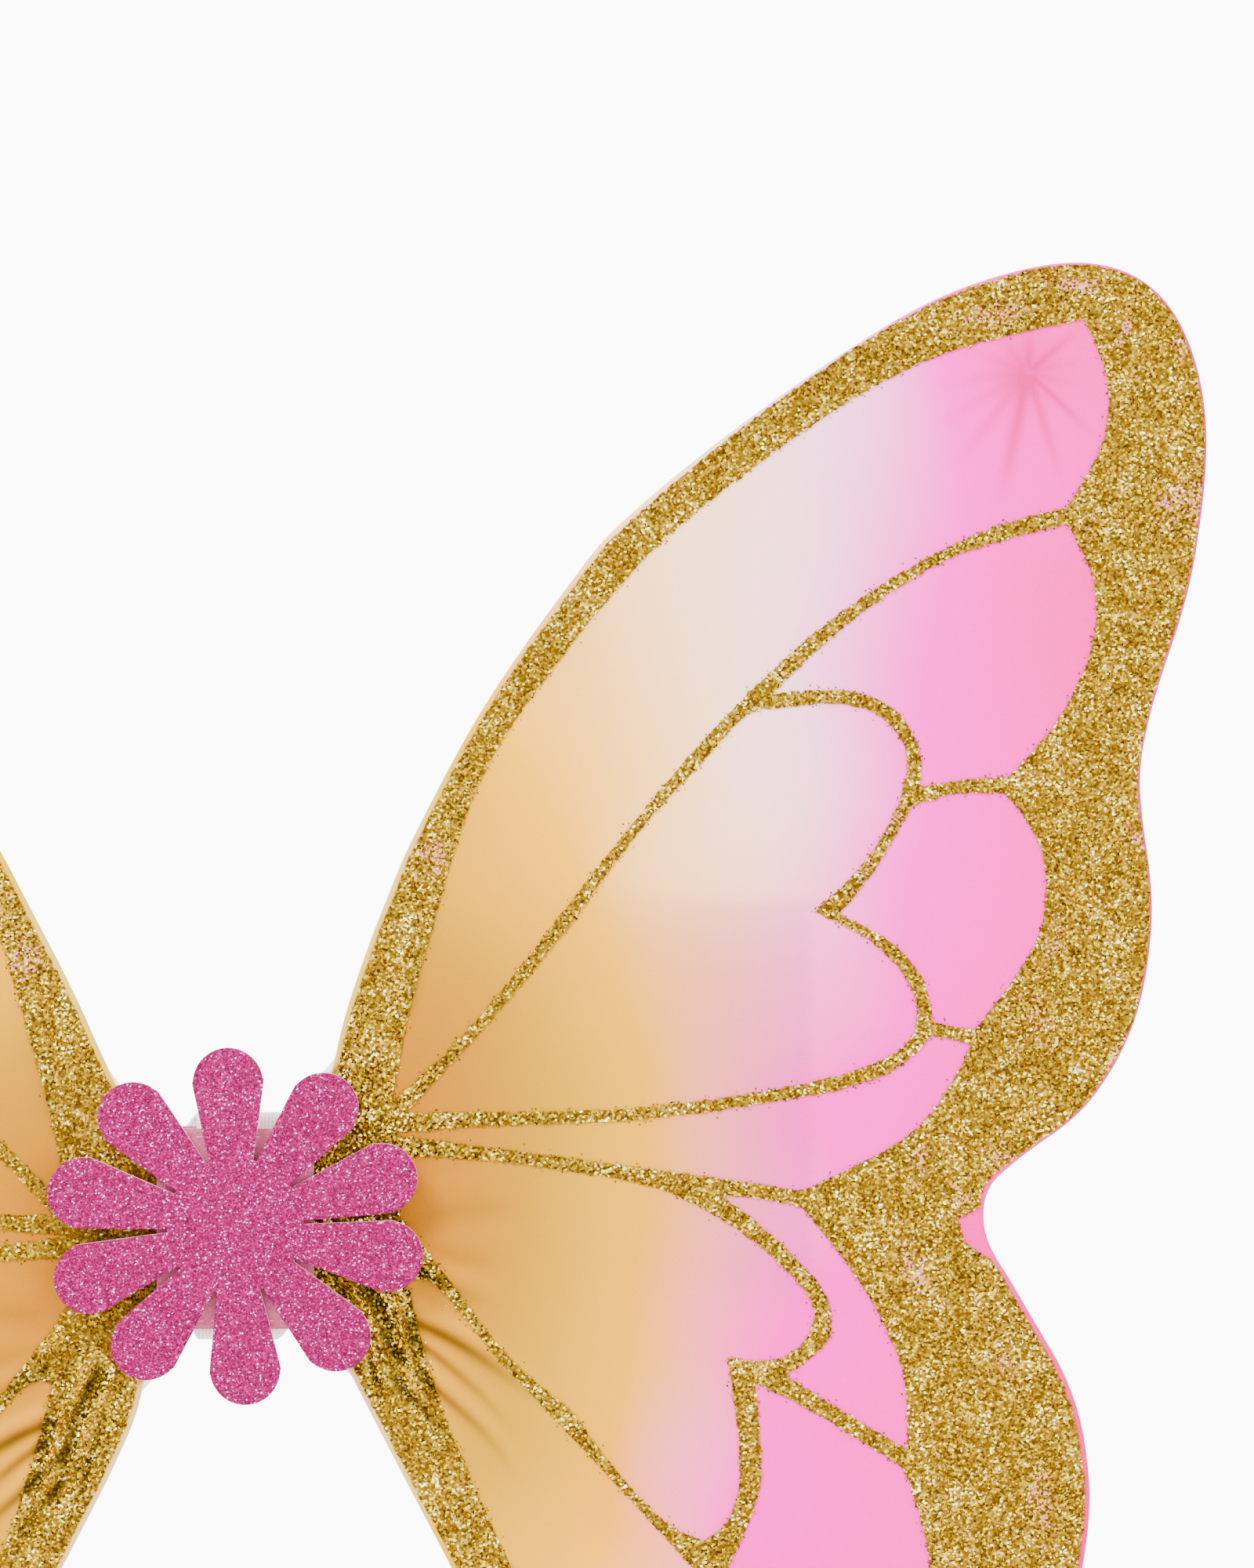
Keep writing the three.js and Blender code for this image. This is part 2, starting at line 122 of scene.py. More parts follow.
class FairyWingsColours(bpy.types.PropertyGroup):
    gold: colour("Gold", "Middle tone of the gold flakes", "#7a5c08")
    # Painted shade and painted glint: flakes given a darker or brighter base colour as if turned from or
    # towards the light
    gold_painted_shade: colour("Deep gold", "Flakes turned away from the light", "#402600")
    gold_painted_glint: colour("Light gold", "Flakes that catch the light", "#ccb030")
    pink: colour("Pink", "Middle tone of the foam's glitter", "#7c0042")
    pink_deep: colour("Deep pink", "Foam between the flakes", "#4e002a")
    foam: colour("Foam", "Cut edge and back of the foam sheet", "#dc8cb0")
    felt: colour("Felt", "Pads of the hub", "#9c4a62")
    elastic: colour("Elastic", "Arm loops", "#f3efe9")
    tape: colour("Tape", "Cotton tape round the wires", "#ece5dc")
    thread: colour("Thread", "Stitches and ties", "#e0589c")
    worn: colour("Worn nylon", "Nylon that shows where glitter is worn off", "#c86470")


def sizes():
    return bpy.context.scene.fairy_sizes


def colours():
    return bpy.context.scene.fairy_colours


# Places that the frame gives --------------------------------------------------------------

def size_of(node):
    low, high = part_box(node)
    return (high - low) / MM


def middle_of(node):
    low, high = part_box(node)
    return (high + low) / 2 / MM


WING_Y = middle_of("right_frame_wire").y
WIRE_RADIUS = size_of("right_frame_wire").y / 2
LEFT_OUT = -(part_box("left_glitter")[0].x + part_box("right_glitter")[1].x) / MM
LEFT_DROP = (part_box("right_glitter")[1].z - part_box("left_glitter")[1].z) / MM
GATHERED_AT = np.array([middle_of("right_tip_gather").x, middle_of("right_tip_gather").z])


def to_wing(side, points):
    """Points in X and Z, in mm, as they would lie on the right wing."""
    if side == "right":
        return points
    return np.stack([-points[:, 0] - LEFT_OUT, points[:, 1] + LEFT_DROP], 1)


def from_wing(side, x, y, z):
    """Places of the right wing's points on a side's own wing, in metres."""
    if side == "left":
        x, z = -x - LEFT_OUT, z - LEFT_DROP
    return np.stack([x, y, z], 1) * MM


# Outlines ---------------------------------------------------------------------------------

def outlines(node, facing, across):
    """Edges of a node's faces that look along facing, longest first, across and up in mm."""
    mesh = bmesh.new()
    mesh.from_mesh(frame["nodes"][node].data)
    bmesh.ops.remove_doubles(mesh, verts=mesh.verts, dist=1e-6)
    # Kept in the mesh's own order, so that an outline starts at the same point each time
    looking = dict.fromkeys(f for f in mesh.faces if f.normal.dot(facing) > 0.99)
    after = {}
    for face in looking:
        for loop in face.loops:
            if sum(f in looking for f in loop.edge.link_faces) == 1:
                after[loop.vert] = loop.link_loop_next.vert
    loops = []
    while after:
        vert = next(iter(after))
        ring = []
        while vert in after:
            ring.append((vert.co.dot(across) / MM, vert.co.z / MM))
            vert = after.pop(vert)
        loops.append(np.array(ring))
    mesh.free()
    return sorted(loops, key=lambda ring: -np.ptp(ring, axis=0).sum())


def front_outlines(side, node):
    """Outlines of a wing's flat piece, with its open end tucked in under the pads."""
    loops = outlines(f"{side}_{node}", Vector((0, -1, 0)), Vector((1, 0, 0)))
    rings = [to_wing(side, ring) for ring in loops]
    neck = rings[0][:, 0] < rings[0][:, 0].min() + 0.3
    rings[0][neck, 0] -= TUCK
    return rings


def smooth_run(points, step):
    """An even Catmull-Rom curve through points, ends kept."""
    padded = np.vstack([2 * points[0] - points[1], points, 2 * points[-1] - points[-2]])
    t = np.linspace(0, 1, 8, endpoint=False)[:, None]
    spans = [(2 * b + (c - a) * t + (2 * a - 5 * b + 4 * c - d) * t ** 2
              + (3 * b - a - 3 * c + d) * t ** 3) / 2
             for a, b, c, d in zip(padded, padded[1:], padded[2:], padded[3:])]
    dense = np.vstack([*spans, points[-1:]])
    along = np.concatenate([[0], np.cumsum(np.linalg.norm(np.diff(dense, axis=0), axis=1))])
    at = np.linspace(0, along[-1], max(2, round(along[-1] / step)) + 1)
    return np.stack([np.interp(at, along, dense[:, k]) for k in range(dense.shape[1])], 1)


def smooth_ring(ring, step):
    """A closed outline made smooth between its real corners."""
    ahead = np.roll(ring, -1, 0) - ring
    behind = ring - np.roll(ring, 1, 0)
    turn = np.arctan2(behind[:, 0] * ahead[:, 1] - behind[:, 1] * ahead[:, 0], (behind * ahead).sum(1))
    corners = np.flatnonzero(np.abs(turn) > CORNER)
    if not len(corners):
        corners = np.array([0])
    runs = []
    for start, end in zip(corners, np.roll(corners, -1)):
        count = (end - start) % len(ring) or len(ring)
        runs.append(smooth_run(ring[(start + np.arange(count + 1)) % len(ring)], step)[:-1])
    return np.vstack(runs)


def normals(ring):
    """Unit normals of a closed outline, to its right hand."""
    along = np.roll(ring, -1, 0) - np.roll(ring, 1, 0)
    along /= np.linalg.norm(along, axis=1)[:, None]
    return np.stack([along[:, 1], -along[:, 0]], 1)


def inward(ring):
    """Unit normals of a closed outline that point into it."""
    anticlockwise = np.cross(ring, np.roll(ring, -1, 0)).sum() > 0
    return -normals(ring) if anticlockwise else normals(ring)


def tree_of(points):
    """A search tree of points in X and Z."""
    tree = KDTree(len(points))
    for i, point in enumerate(points):
        tree.insert((point[0], point[1], 0), i)
    tree.balance()
    return tree


def distance(points, tree):
    """Distance of each point from the nearest one of a tree."""
    return np.array([tree.find((x, z, 0))[2] for x, z in points])


def wire_line(side):
    """Centres of the rings of a frame wire, in X and Z, from its start inside the hub."""
    mesh = bmesh.new()
    mesh.from_mesh(frame["nodes"][f"{side}_frame_wire"].data)
    bmesh.ops.remove_doubles(mesh, verts=mesh.verts, dist=1e-6)
    flat = [f for f in mesh.faces if abs(f.normal.z) > 0.99]
    ends = dict.fromkeys(v for f in flat for v in f.verts)
    middle = sum(v.co.z for v in ends) / len(ends)
    ring = [v for v in ends if v.co.z > middle]
    seen = set(ring)
    line = []
    while ring:
        line.append([sum(v.co[k] for v in ring) / len(ring) / MM for k in (0, 2)])
        beside = dict.fromkeys(e.other_vert(v) for v in ring for e in v.link_edges)
        ring = [v for v in beside if v not in seen]
        seen.update(ring)
    mesh.free()
    return to_wing(side, np.array(line))


# Cloth of a wing --------------------------------------------------------------------------

# Pleats that leave the hub: route, width and height
PLEATS = [
    (((50, -24), (65, -31), (80, -41), (96, -54)), 2.2, 1.3),
    (((47, -28), (58, -35), (72, -47), (86, -62)), 1.5, 0.9),
    (((46, -33), (60, -46), (75, -60), (88, -78)), 1.7, 1.1),
    (((45, -40), (58, -54), (70, -74)), 1.8, 0.9),
    (((52, -8), (64, -15), (80, -21)), 2.6, 0.75),
    (((53, -3), (66, -4), (86, -5)), 4.0, 0.3),
    (((52, 8), (70, 11), (92, 13)), 4.5, 0.25),
    (((46, 62), (50, 80), (57, 100)), 3.0, 0.35),
]
# Crushed bands of nylon at the hub: route, width and height
CRUSHED = [
    (((36, -12), (43, -28), (50, -55), (56, -72)), 9.0, 1.25),
    (((33, 22), (38, 42), (44, 66)), 6.0, 0.35),
]
# Rays of the gathered tip: direction in degrees, length, width and depth
RAYS = [(-102, 45, 2.6, 1.0), (-73, 38, 1.7, 0.8), (-44, 31, 1.2, 1.0), (-16, 19, 1.4, 0.35),
        (12, 20, 1.3, 0.3), (40, 24, 1.6, 0.8), (88, 15, 1.5, 0.7), (128, 16, 1.6, 0.35),
        (160, 24, 2.0, 0.3), (-172, 30, 2.0, 0.3), (-150, 34, 2.2, 0.35), (-128, 38, 2.4, 0.5)]

# Where fine folds fan out from at the hub, in mm
FAN = np.array([30, 5])

# How far the dye runs from each place, in mm
DYE_SPREAD = 16

# Dyes of the nylon, with the places on the wing that each one reaches, in mm
DYES = {
    "#ceaa02": [(44, 40), (50, 60), (62, 52), (58, 28), (62, 8), (56, -8), (60, -40)],  # amber
    "#d0b620": [(78, 68), (58, 84), (80, 42), (90, 26), (88, 0), (84, -22), (72, -34), (72, -62),
                (40, 88), (58, 124), (36, 64)],  # marigold
    "#dec54a": [(96, 48), (92, -46), (62, -100)],  # straw
    "#e9ca7c": [(70, 100), (108, 6), (92, -86), (97, -168)],  # honey
    "#edcc96": [(84, 108), (70, 126), (100, 75), (104, -28)],  # apricot
    "#ebd3ac": [(120, 62), (118, 26), (124, -4), (118, -48), (84, 172), (38, -56)],  # buff
    "#f4d9a8": [(84, 140), (96, 160), (104, 128)],  # cream
    "#fae5c9": [(118, 180), (122, 150), (128, 112), (128, 222)],  # ivory
    "#f3d1b7": [(135, 80), (112, -112), (32, -42)],  # peach
    "#fceee0": [(142, 205), (140, 172), (150, 108)],  # warm white
    "#feebf3": [(165, 226), (165, 190), (190, 240), (160, 140)],  # cool white
    "#f4c3c4": [(150, 62), (145, 26), (142, -14)],  # tea rose
    "#fad9e8": [(188, 132), (176, 256)],  # blush
    "#fbcbe8": [(190, 215), (185, 172), (172, 92)],  # shell pink
    "#f8b9de": [(168, 64), (184, 66), (135, -66), (160, 2)],  # petal pink
    "#f898de": [(212, 245), (212, 222), (205, 180), (208, 140), (205, 112), (205, 88), (170, 28),
                (156, -28), (130, -140), (212, 276)],  # rose pink
    "#f587d8": [(240, 222), (215, 155), (192, 40), (180, -30), (168, -82), (222, 8)],  # candy pink
    "#f575d2": [(246, 245), (238, 262), (228, 138), (230, 110), (230, 90), (216, 68), (150, -160),
                (190, -56), (192, -100)],  # clear pink
    "#f465ca": [(232, 250), (240, 185), (244, 165), (170, -170), (185, -135), (246, 284)],  # bright pink
    "#ea4ab3": [(276, 268), (286, 230), (276, 175), (266, 125), (268, 80), (250, 36), (250, -92),
                (232, -152), (190, -198)],  # hot pink
    "#ec35b5": [(218, -2), (236, -34)],  # magenta
    "#f1a2b3": [(143, -204)],  # dusky pink
    "#ba9600": [(30, 30)],  # deep amber
}


def route_distance(points, route):
    """Signed distance from a route, the share of it passed and the plain distance, for each point."""
    route = smooth_run(np.array(route, float), 3)
    best = np.full(len(points), np.inf)
    signed = np.zeros(len(points))
    share = np.zeros(len(points))
    for i, (a, b) in enumerate(zip(route, route[1:])):
        run = b - a
        t = np.clip((points - a) @ run / (run @ run), 0, 1)
        off = points - a - t[:, None] * run
        far = np.linalg.norm(off, axis=1)
        nearer = far < best
        best[nearer] = far[nearer]
        signed[nearer] = (np.sign(run[0] * off[:, 1] - run[1] * off[:, 0]) * far)[nearer]
        share[nearer] = ((i + t) / (len(route) - 1))[nearer]
    return signed, share, best


def ease(value):
    """A soft step from 0 to 1."""
    value = np.clip(value, 0, 1)
    return value * value * (3 - 2 * value)


def bump(off, width):
    """A round hump: 1 in its middle, fading over its width."""
    return np.exp(-(off / width) ** 2)


def ripple(points, seed):
    """A soft, even noise between about -1 and 1."""
    turn = np.random.default_rng(seed)
    total = np.zeros(len(points))
    for _ in range(6):
        angle = turn.uniform(0, 2 * math.pi)
        total += np.sin(points @ np.array([math.cos(angle), math.sin(angle)]) * turn.uniform(0.6, 1.6)
                        + turn.uniform(0, 6))
    return total / 3


def pleats(points):
    """Height of the pleats, crushed bands and rays at points of the wing, in mm, and their painted shade:
    above 0 a painted shadow, below 0 a painted highlight, partly the deeper colour where the nylon bunches.
    """
    height = np.zeros(len(points))
    shade = np.zeros(len(points))
    for route, width, rise in PLEATS:
        side, share, far = route_distance(points, route)
        fade = ease(1.25 * (1 - share)) * ease(share * 6 + 0.4) * (far < 5 * width)
        height += rise * fade * (bump(side, width) - 0.6 * bump(side + 1.7 * width, width))
        # Painted shadow along one side of each pleat, a faint painted highlight along the other
        shade += rise * fade * (bump(side + 1.3 * width, 0.8 * width) - 0.35 * bump(side - width, width))
    for route, width, rise in CRUSHED:
        side, share, far = route_distance(points, route)
        fade = ease(1.6 * (1 - share)) * np.exp(-(far / width) ** 4)
        place = np.stack([side * 0.85, share * 5], 1)
        crush = ripple(place, 3) + 0.5 * ripple(place * 2.1, 4)
        height += rise * fade * crush
        # Painted shade in the hollows of a crushed band, painted highlight on its crests
        shade -= 0.65 * rise * fade * crush
    out = points - GATHERED_AT
    reach = np.linalg.norm(out, axis=1)
    for angle, long, width, deep in RAYS:
        way = np.array([math.cos(math.radians(angle)), math.sin(math.radians(angle))])
        along = out @ way
        side = out @ np.array([-way[1], way[0]])
        wide = width * (0.55 + 0.45 * along / long)
        line = bump(side, np.maximum(wide, 0.5)) * ease((long - along) / (0.7 * long)) * ease(along / 3)
        height -= 0.45 * deep * line
        # Painted shade along each ray, partly the deeper pink of the nylon bunched there
        shade += deep * line * 0.95
    height -= 0.9 * bump(reach, 7)
    # Painted shade at the gathered point, partly the deeper pink of the nylon bunched there
    shade += 0.55 * bump(reach, 9)
    return height, shade


def relief(points, edge_tree, wire_tree):
    """How far the front nylon stands before the wing's middle plane, its painted fold shade, and the way to
    the edge.
    """
    height, shade = pleats(points)
    in_from_edge = distance(points, edge_tree)
    to_wire = distance(points, wire_tree)
    drape = sizes().drape / MM
    over = WIRE_RADIUS + sizes().nylon / MM
    outside = in_from_edge < over
    round_wire = np.sqrt(np.clip(over ** 2 - to_wire ** 2, 0, None))
    inside = drape + (over - drape) * ease(1 - to_wire / 9)
    base = np.where(outside & (to_wire < 2 * over), np.maximum(round_wire, 0.12), inside)
    calm = ease((in_from_edge - over) / 5)
    out = points - FAN
    angle = np.arctan2(out[:, 1], out[:, 0])
    height = height + 0.14 * np.sin(34 * angle) * np.exp(-np.linalg.norm(out, axis=1) / 55)
    height = height + 0.3 * np.sin(points[:, 0] / 23 + 1) * np.sin(points[:, 1] / 31 + 2)
    return np.maximum(base + height * calm, 0.12), shade, in_from_edge


def dyed(points, shade, in_from_edge, back=False):
    """Linear colour of the nylon at points of the wing: its dye, with painted fold shade and highlight
    added.
    """
    places = np.array([place for found in DYES.values() for place in found], float)
    tints = np.array([srgb(code) for code, found in DYES.items() for _ in found])
    gap = ((points[:, None] - places[None]) ** 2).sum(2)
    weight = np.exp(-gap / (2 * DYE_SPREAD ** 2)) + 1e-9 / (gap + 30)
    tint = weight @ tints / weight.sum(1)[:, None]
    # A soft-edged patch of the nylon, from about 95 to 170 mm out and between about -30 and 98 mm up, is
    # painted a little darker
    darker_patch = ease((170 - points[:, 0]) / 3) * ease((points[:, 0] - 95) / 60)
    darker_patch *= ease((98 - points[:, 1]) / 5) * ease((points[:, 1] + 30) / 20)
    tint *= 1 - np.outer(darker_patch, (0.028, 0.034, 0.018))
    # The dye hardly took on the rim beside the hub
    pale = 0.75 * ease((2.6 - in_from_edge) / 1.2) * ease((75 - points[:, 0]) / 25)
    tint += pale[:, None] * (np.array([0.93, 0.88, 0.82]) - tint)
    # Painted shade along the folds deepens the pink nylon, and painted highlight lightens it beside them;
    # partly this is the deeper colour where the nylon lies doubled in a fold
    deep = np.clip(shade, -0.7, 1.2)[:, None]
    golden = ease((150 - points[:, 0]) / 40)[:, None]
    tint += 0.78 * deep * (1 - golden) * (np.array([0.89, 0.1, 0.7]) - tint)
    tint = np.clip(tint, 0, 1)
    if back:
        tint = 1 - (1 - tint) * 0.9
    tint = to_linear(tint) ** sizes().dye_strength
    # Painted shade darkens the golden nylon in the folds; below 0 it is a painted highlight
    tint *= 1 - 0.58 * deep * golden
    grey = tint.mean(1)[:, None]
    return np.clip(grey + (tint - grey) * 1.3, 0, 1)


def filled(rings, free):
    """Triangles that fill the outer ring less the inner ones, through free points too."""
    points = []
    edges = []
    for ring in rings:
        start = len(points)
        points += [Vector(p) for p in ring]
        edges += [(start + i, start + (i + 1) % len(ring)) for i in range(len(ring))]
    points += [Vector(p) for p in free]
    made = delaunay_2d_cdt(points, edges, [], 1, 1e-5)
    places = np.array([tuple(p) for p in made[0]])
    triangles = np.array(made[2])
    for ring in rings[1:]:
        triangles = triangles[~within(places[triangles].mean(1), ring)]
    used, triangles = np.unique(triangles, return_inverse=True)
    return places[used], triangles.reshape(-1, 3)


def within(points, ring):
    """Which points lie inside an outline."""
    inside = np.zeros(len(points), bool)
    for a, b in zip(ring, np.roll(ring, -1, 0)):
        between = (a[1] > points[:, 1]) != (b[1] > points[:, 1])
        rise = b[1] - a[1] or 1.0
        inside ^= between & (points[:, 0] < a[0] + (points[:, 1] - a[1]) * (b[0] - a[0]) / rise)
    return inside


def anticlockwise(points, triangles):
    """Triangles all turned the same way round."""
    first = points[triangles]
    turn = np.cross(first[:, 1] - first[:, 0], first[:, 2] - first[:, 0])
    return np.where((turn < 0)[:, None], triangles[:, ::-1], triangles)


def grid(low, high, step):
    """Points of a staggered grid."""
    rows = np.arange(low[1], high[1], step * 0.866)
    across = np.arange(low[0], high[0], step)
    return np.array([(x + (i % 2) * step / 2, z) for i, z in enumerate(rows) for x in across])


def cloth_points(outline, wide, fine):
    """Free points of a wing's cloth: close together where it is pleated."""
    low, high = outline.min(0), outline.max(0)
    coarse = grid(low, high, wide)
    close = grid(low, high, fine)

    def pleated(points):
        gather = np.linalg.norm(points - GATHERED_AT, axis=1) < 42
        root = (points[:, 0] < 98) & (points[:, 1] < 22) & (points[:, 1] > -80)
        neck = (points[:, 0] < 62) & (points[:, 1] >= 22) & (points[:, 1] < 105)
        return gather | root | neck
    return np.vstack([coarse[~pleated(coarse)], close[pleated(close)]])


class WingCloth:
    """Outline, wire and cloth points of one wing, as they would lie on the right wing."""

    def __init__(self, side):
        step = sizes().edge_step / MM
        self.side = side
        self.wire = smooth_run(wire_line(side), 1.5)
        self.edge = smooth_ring(front_outlines(side, "front_skin")[0], step)
        fine_edge = smooth_ring(front_outlines(side, "front_skin")[0], 0.3)
        self.edge_tree = tree_of(fine_edge)
        self.wire_tree = tree_of(smooth_run(wire_line(side), 0.3))
        self.area = abs(np.cross(fine_edge, np.roll(fine_edge, -1, 0)).sum()) / 2

    def mesh(self, name, rings, free, lift, front=True, back_tint=False):
        """A sheet over the wing that stands lift in front of the nylon's own surface."""
        points, triangles = filled(rings, free)
        height, shade, in_from_edge = relief(points, self.edge_tree, self.wire_tree)
        if not front:
            height, shade = np.maximum(height * 0.9, 0.12), shade * 0.7
        y = WING_Y - (height + lift) * (1 if front else -1)
        triangles = anticlockwise(points, triangles)
        if front == (self.side == "left"):
            triangles = triangles[:, ::-1]
        piece = mesh_piece(name, from_wing(self.side, points[:, 0], y, points[:, 1]), triangles)
        # Dye with painted fold shade and highlight
        paint(piece, "dye", dyed(points, shade, in_from_edge, back_tint))
        # Painted fold shade and highlight, handed on to the glitter
        paint(piece, "fold_shading", np.clip(shade, -1, 1))
        return piece, points


def tube_faces(rows, around):
    """Faces of a tube that is made of rings with the same number of points."""
    return [(i * around + k, i * around + (k + 1) % around, (i + 1) * around + (k + 1) % around,
             (i + 1) * around + k) for i in range(rows - 1) for k in range(around)]


def mesh_piece(name, points, faces):
    data = bpy.data.meshes.new(name)
    data.from_pydata([tuple(p) for p in points], [], [tuple(int(i) for i in f) for f in faces])
    data.update()
    piece = bpy.data.objects.new(name, data)
    bpy.context.scene.collection.objects.link(piece)
    return piece


def paint(piece, name, values):
    """Stores one colour or one number for each point of a piece."""
    data = piece.data
    if values.ndim == 2:
        layer = data.color_attributes.new(name, "FLOAT_COLOR", "POINT")
        layer.data.foreach_set("color", np.hstack([values, np.ones((len(values), 1))]).ravel())
    else:
        layer = data.attributes.new(name, "FLOAT", "POINT")
        layer.data.foreach_set("value", values.astype(np.float32))


# Working on pieces ------------------------------------------------------------------------

def deselect():
    bpy.ops.object.select_all(action="DESELECT")


def only(piece):
    deselect()
    piece.select_set(True)
    bpy.context.view_layer.objects.active = piece
    return piece


def modify(piece, kind, **settings):
    """Adds a modifier and applies it."""
    only(piece)
    modifier = piece.modifiers.new(kind.title(), kind)
    for key, value in settings.items():
        setattr(modifier, key, value)
    bpy.ops.object.modifier_apply(modifier=modifier.name)
    return piece


def finish_piece(piece, name, body, slot, *materials, replaces=(), smooth=40):
    """Names a piece, gives it its finish and fixes it to its body."""
    only(piece)
    piece.name = name
    bpy.ops.object.transform_apply(location=True, rotation=True, scale=True)
    if smooth:
        bpy.ops.object.shade_smooth_by_angle(angle=math.radians(smooth))
    for material in materials:
        piece.data.materials.append(material)
    if body:
        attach(piece, body)
    if replaces:
        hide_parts(*replaces)
    return piece


def join(pieces):
    deselect()
    for piece in pieces:
        piece.select_set(True)
    bpy.context.view_layer.objects.active = pieces[0]
    bpy.ops.object.join()
    return pieces[0]


def edit(piece, keep=lambda part: True, kind="FACE"):
    """Enters edit mode with the faces or edges chosen for which keep is true, or with all."""
    only(piece)
    bpy.ops.object.mode_set(mode="EDIT")
    bpy.ops.mesh.select_mode(type=kind)
    bpy.ops.mesh.select_all(action="DESELECT")
    shape = bmesh.from_edit_mesh(piece.data)
    for part in shape.faces if kind == "FACE" else shape.edges:
        part.select_set(bool(keep(part)))
    bmesh.update_edit_mesh(piece.data)


def leave_edit():
    bpy.ops.object.mode_set(mode="OBJECT")


def face_outwards(piece):
    """Turns the faces of a closed piece outwards."""
    edit(piece)
    bpy.ops.mesh.normals_make_consistent(inside=False)
    leave_edit()


# Materials --------------------------------------------------------------------------------

def add(tree, kind, inputs=(), **settings):
    """Adds a shader node. Inputs pair a socket's name or number with a value or a link."""
    made = tree.nodes.new("ShaderNode" + kind)
    for key, value in settings.items():
        setattr(made, key, value)
    for key, value in dict(inputs).items():
        if isinstance(value, bpy.types.NodeSocket):
            tree.links.new(value, made.inputs[key])
        else:
            made.inputs[key].default_value = value
    return made


def new_material(name):
    made = bpy.data.materials.new(name)
    made.use_nodes = True
    made.node_tree.nodes.clear()
    return made, made.node_tree


def output(tree, shader):
    add(tree, "OutputMaterial", {"Surface": shader.outputs[0]})


def object_place(tree):
    return add(tree, "TexCoord").outputs["Object"]


def maths(tree, operation, *values):
    return add(tree, "Math", enumerate(values), operation=operation).outputs[0]


def times(tree, first, second):
    return maths(tree, "MULTIPLY", first, second)


def plus(tree, first, second):
    return maths(tree, "ADD", first, second)


def scaled(tree, value, scale):
    return add(tree, "VectorMath", {0: value, "Scale": scale}, operation="SCALE").outputs[0]


def wave(tree, along, pitch):
    """A sine along a length, with one wave in each pitch."""
    return maths(tree, "SINE", times(tree, along, 2 * math.pi / pitch))


def grain(tree, size, detail=3.0, distortion=0.0):
    """Noise with grains of a size, in metres."""
    return add(tree, "TexNoise", {"Vector": object_place(tree), "Scale": 1 / size, "Detail": detail,
                                  "Distortion": distortion}).outputs[0]


def relief_of(tree, height, strength, depth):
    return add(tree, "Bump", {"Strength": strength, "Distance": depth, "Height": height}).outputs[0]


def surface(tree, tint, rough, normal, **more):
    """An opaque surface. More settings are socket names with _ in place of spaces."""
    named = {key.replace("_", " "): value for key, value in more.items()}
    return add(tree, "BsdfPrincipled", {"Base Color": tint, "Roughness": rough, "Normal": normal, **named})


def ramp(tree, factor, stops):
    made = add(tree, "ValToRGB", {0: factor})
    bar = made.color_ramp
    while len(bar.elements) < len(stops):
        bar.elements.new(0.5)
    for element, (place, tint) in zip(bar.elements, stops):
        element.position = place
        element.color = tint
    return made.outputs[0]


def flakes(tree, width, tilt):
    """Cells of glitter: a random number pair for each flake, and a normal that tips with it."""
    place = object_place(tree)
    cells = add(tree, "TexVoronoi", {"Vector": place, "Scale": 1 / width, "Randomness": 1.0})
    parts = add(tree, "SeparateColor", {0: cells.outputs["Color"]})
    tip = add(tree, "VectorMath", {0: cells.outputs["Color"], 1: (0.5, 0.5, 0.5)}, operation="SUBTRACT")
    tipped = scaled(tree, tip.outputs[0], tilt)
    flat = add(tree, "NewGeometry").outputs["Normal"]
    added = add(tree, "VectorMath", {0: flat, 1: tipped}, operation="ADD")
    normal = add(tree, "VectorMath", {0: added.outputs[0]}, operation="NORMALIZE").outputs[0]
    return parts.outputs[0], parts.outputs[1], normal


def gold_glitter():
    """Polyester glitter in a clear binder: hard sparkle over a brown-gold bed, with painted shade and
    painted glints in the flakes' own colours.
    """
    material, tree = new_material("gold polyester glitter, printed in binder")
    paint_of = colours()
    pick, other, normal = flakes(tree, sizes().flake, 1.15)
    patch = maths(tree, "SUBTRACT", grain(tree, 0.009, 2.0), 0.5)
    level = plus(tree, pick, times(tree, patch, 0.5))
    # Each flake's base colour runs at random from painted shade through the gold to painted glints
    tone = ramp(tree, level, [(0.0, paint_of.gold_painted_shade), (0.3, linear("#5e4200")), (0.6, paint_of.gold),
                              (0.8, linear("#9c7c18")), (0.93, paint_of.gold_painted_glint),
                              (1.0, linear("#fff2a8"))])
    # Painted shade darkens the glitter in the fold hollows, painted highlight brightens it on the crests
    fold_shading = add(tree, "Attribute", attribute_name="fold_shading").outputs["Fac"]
    tone = scaled(tree, tone, maths(tree, "SUBTRACT", 1.0, times(tree, fold_shading, 0.75)))
    gold = surface(tree, tone, 0.36, normal, Metallic=0.92, Specular_IOR_Level=0.1)
    bare = add(tree, "BsdfPrincipled", {"Base Color": paint_of.worn, "Roughness": 0.75})
    worn = add(tree, "Attribute", attribute_name="worn").outputs["Fac"]
    gone = maths(tree, "GREATER_THAN", worn, other)
    output(tree, add(tree, "MixShader", {0: gone, 1: gold.outputs[0], 2: bare.outputs[0]}))
    return material


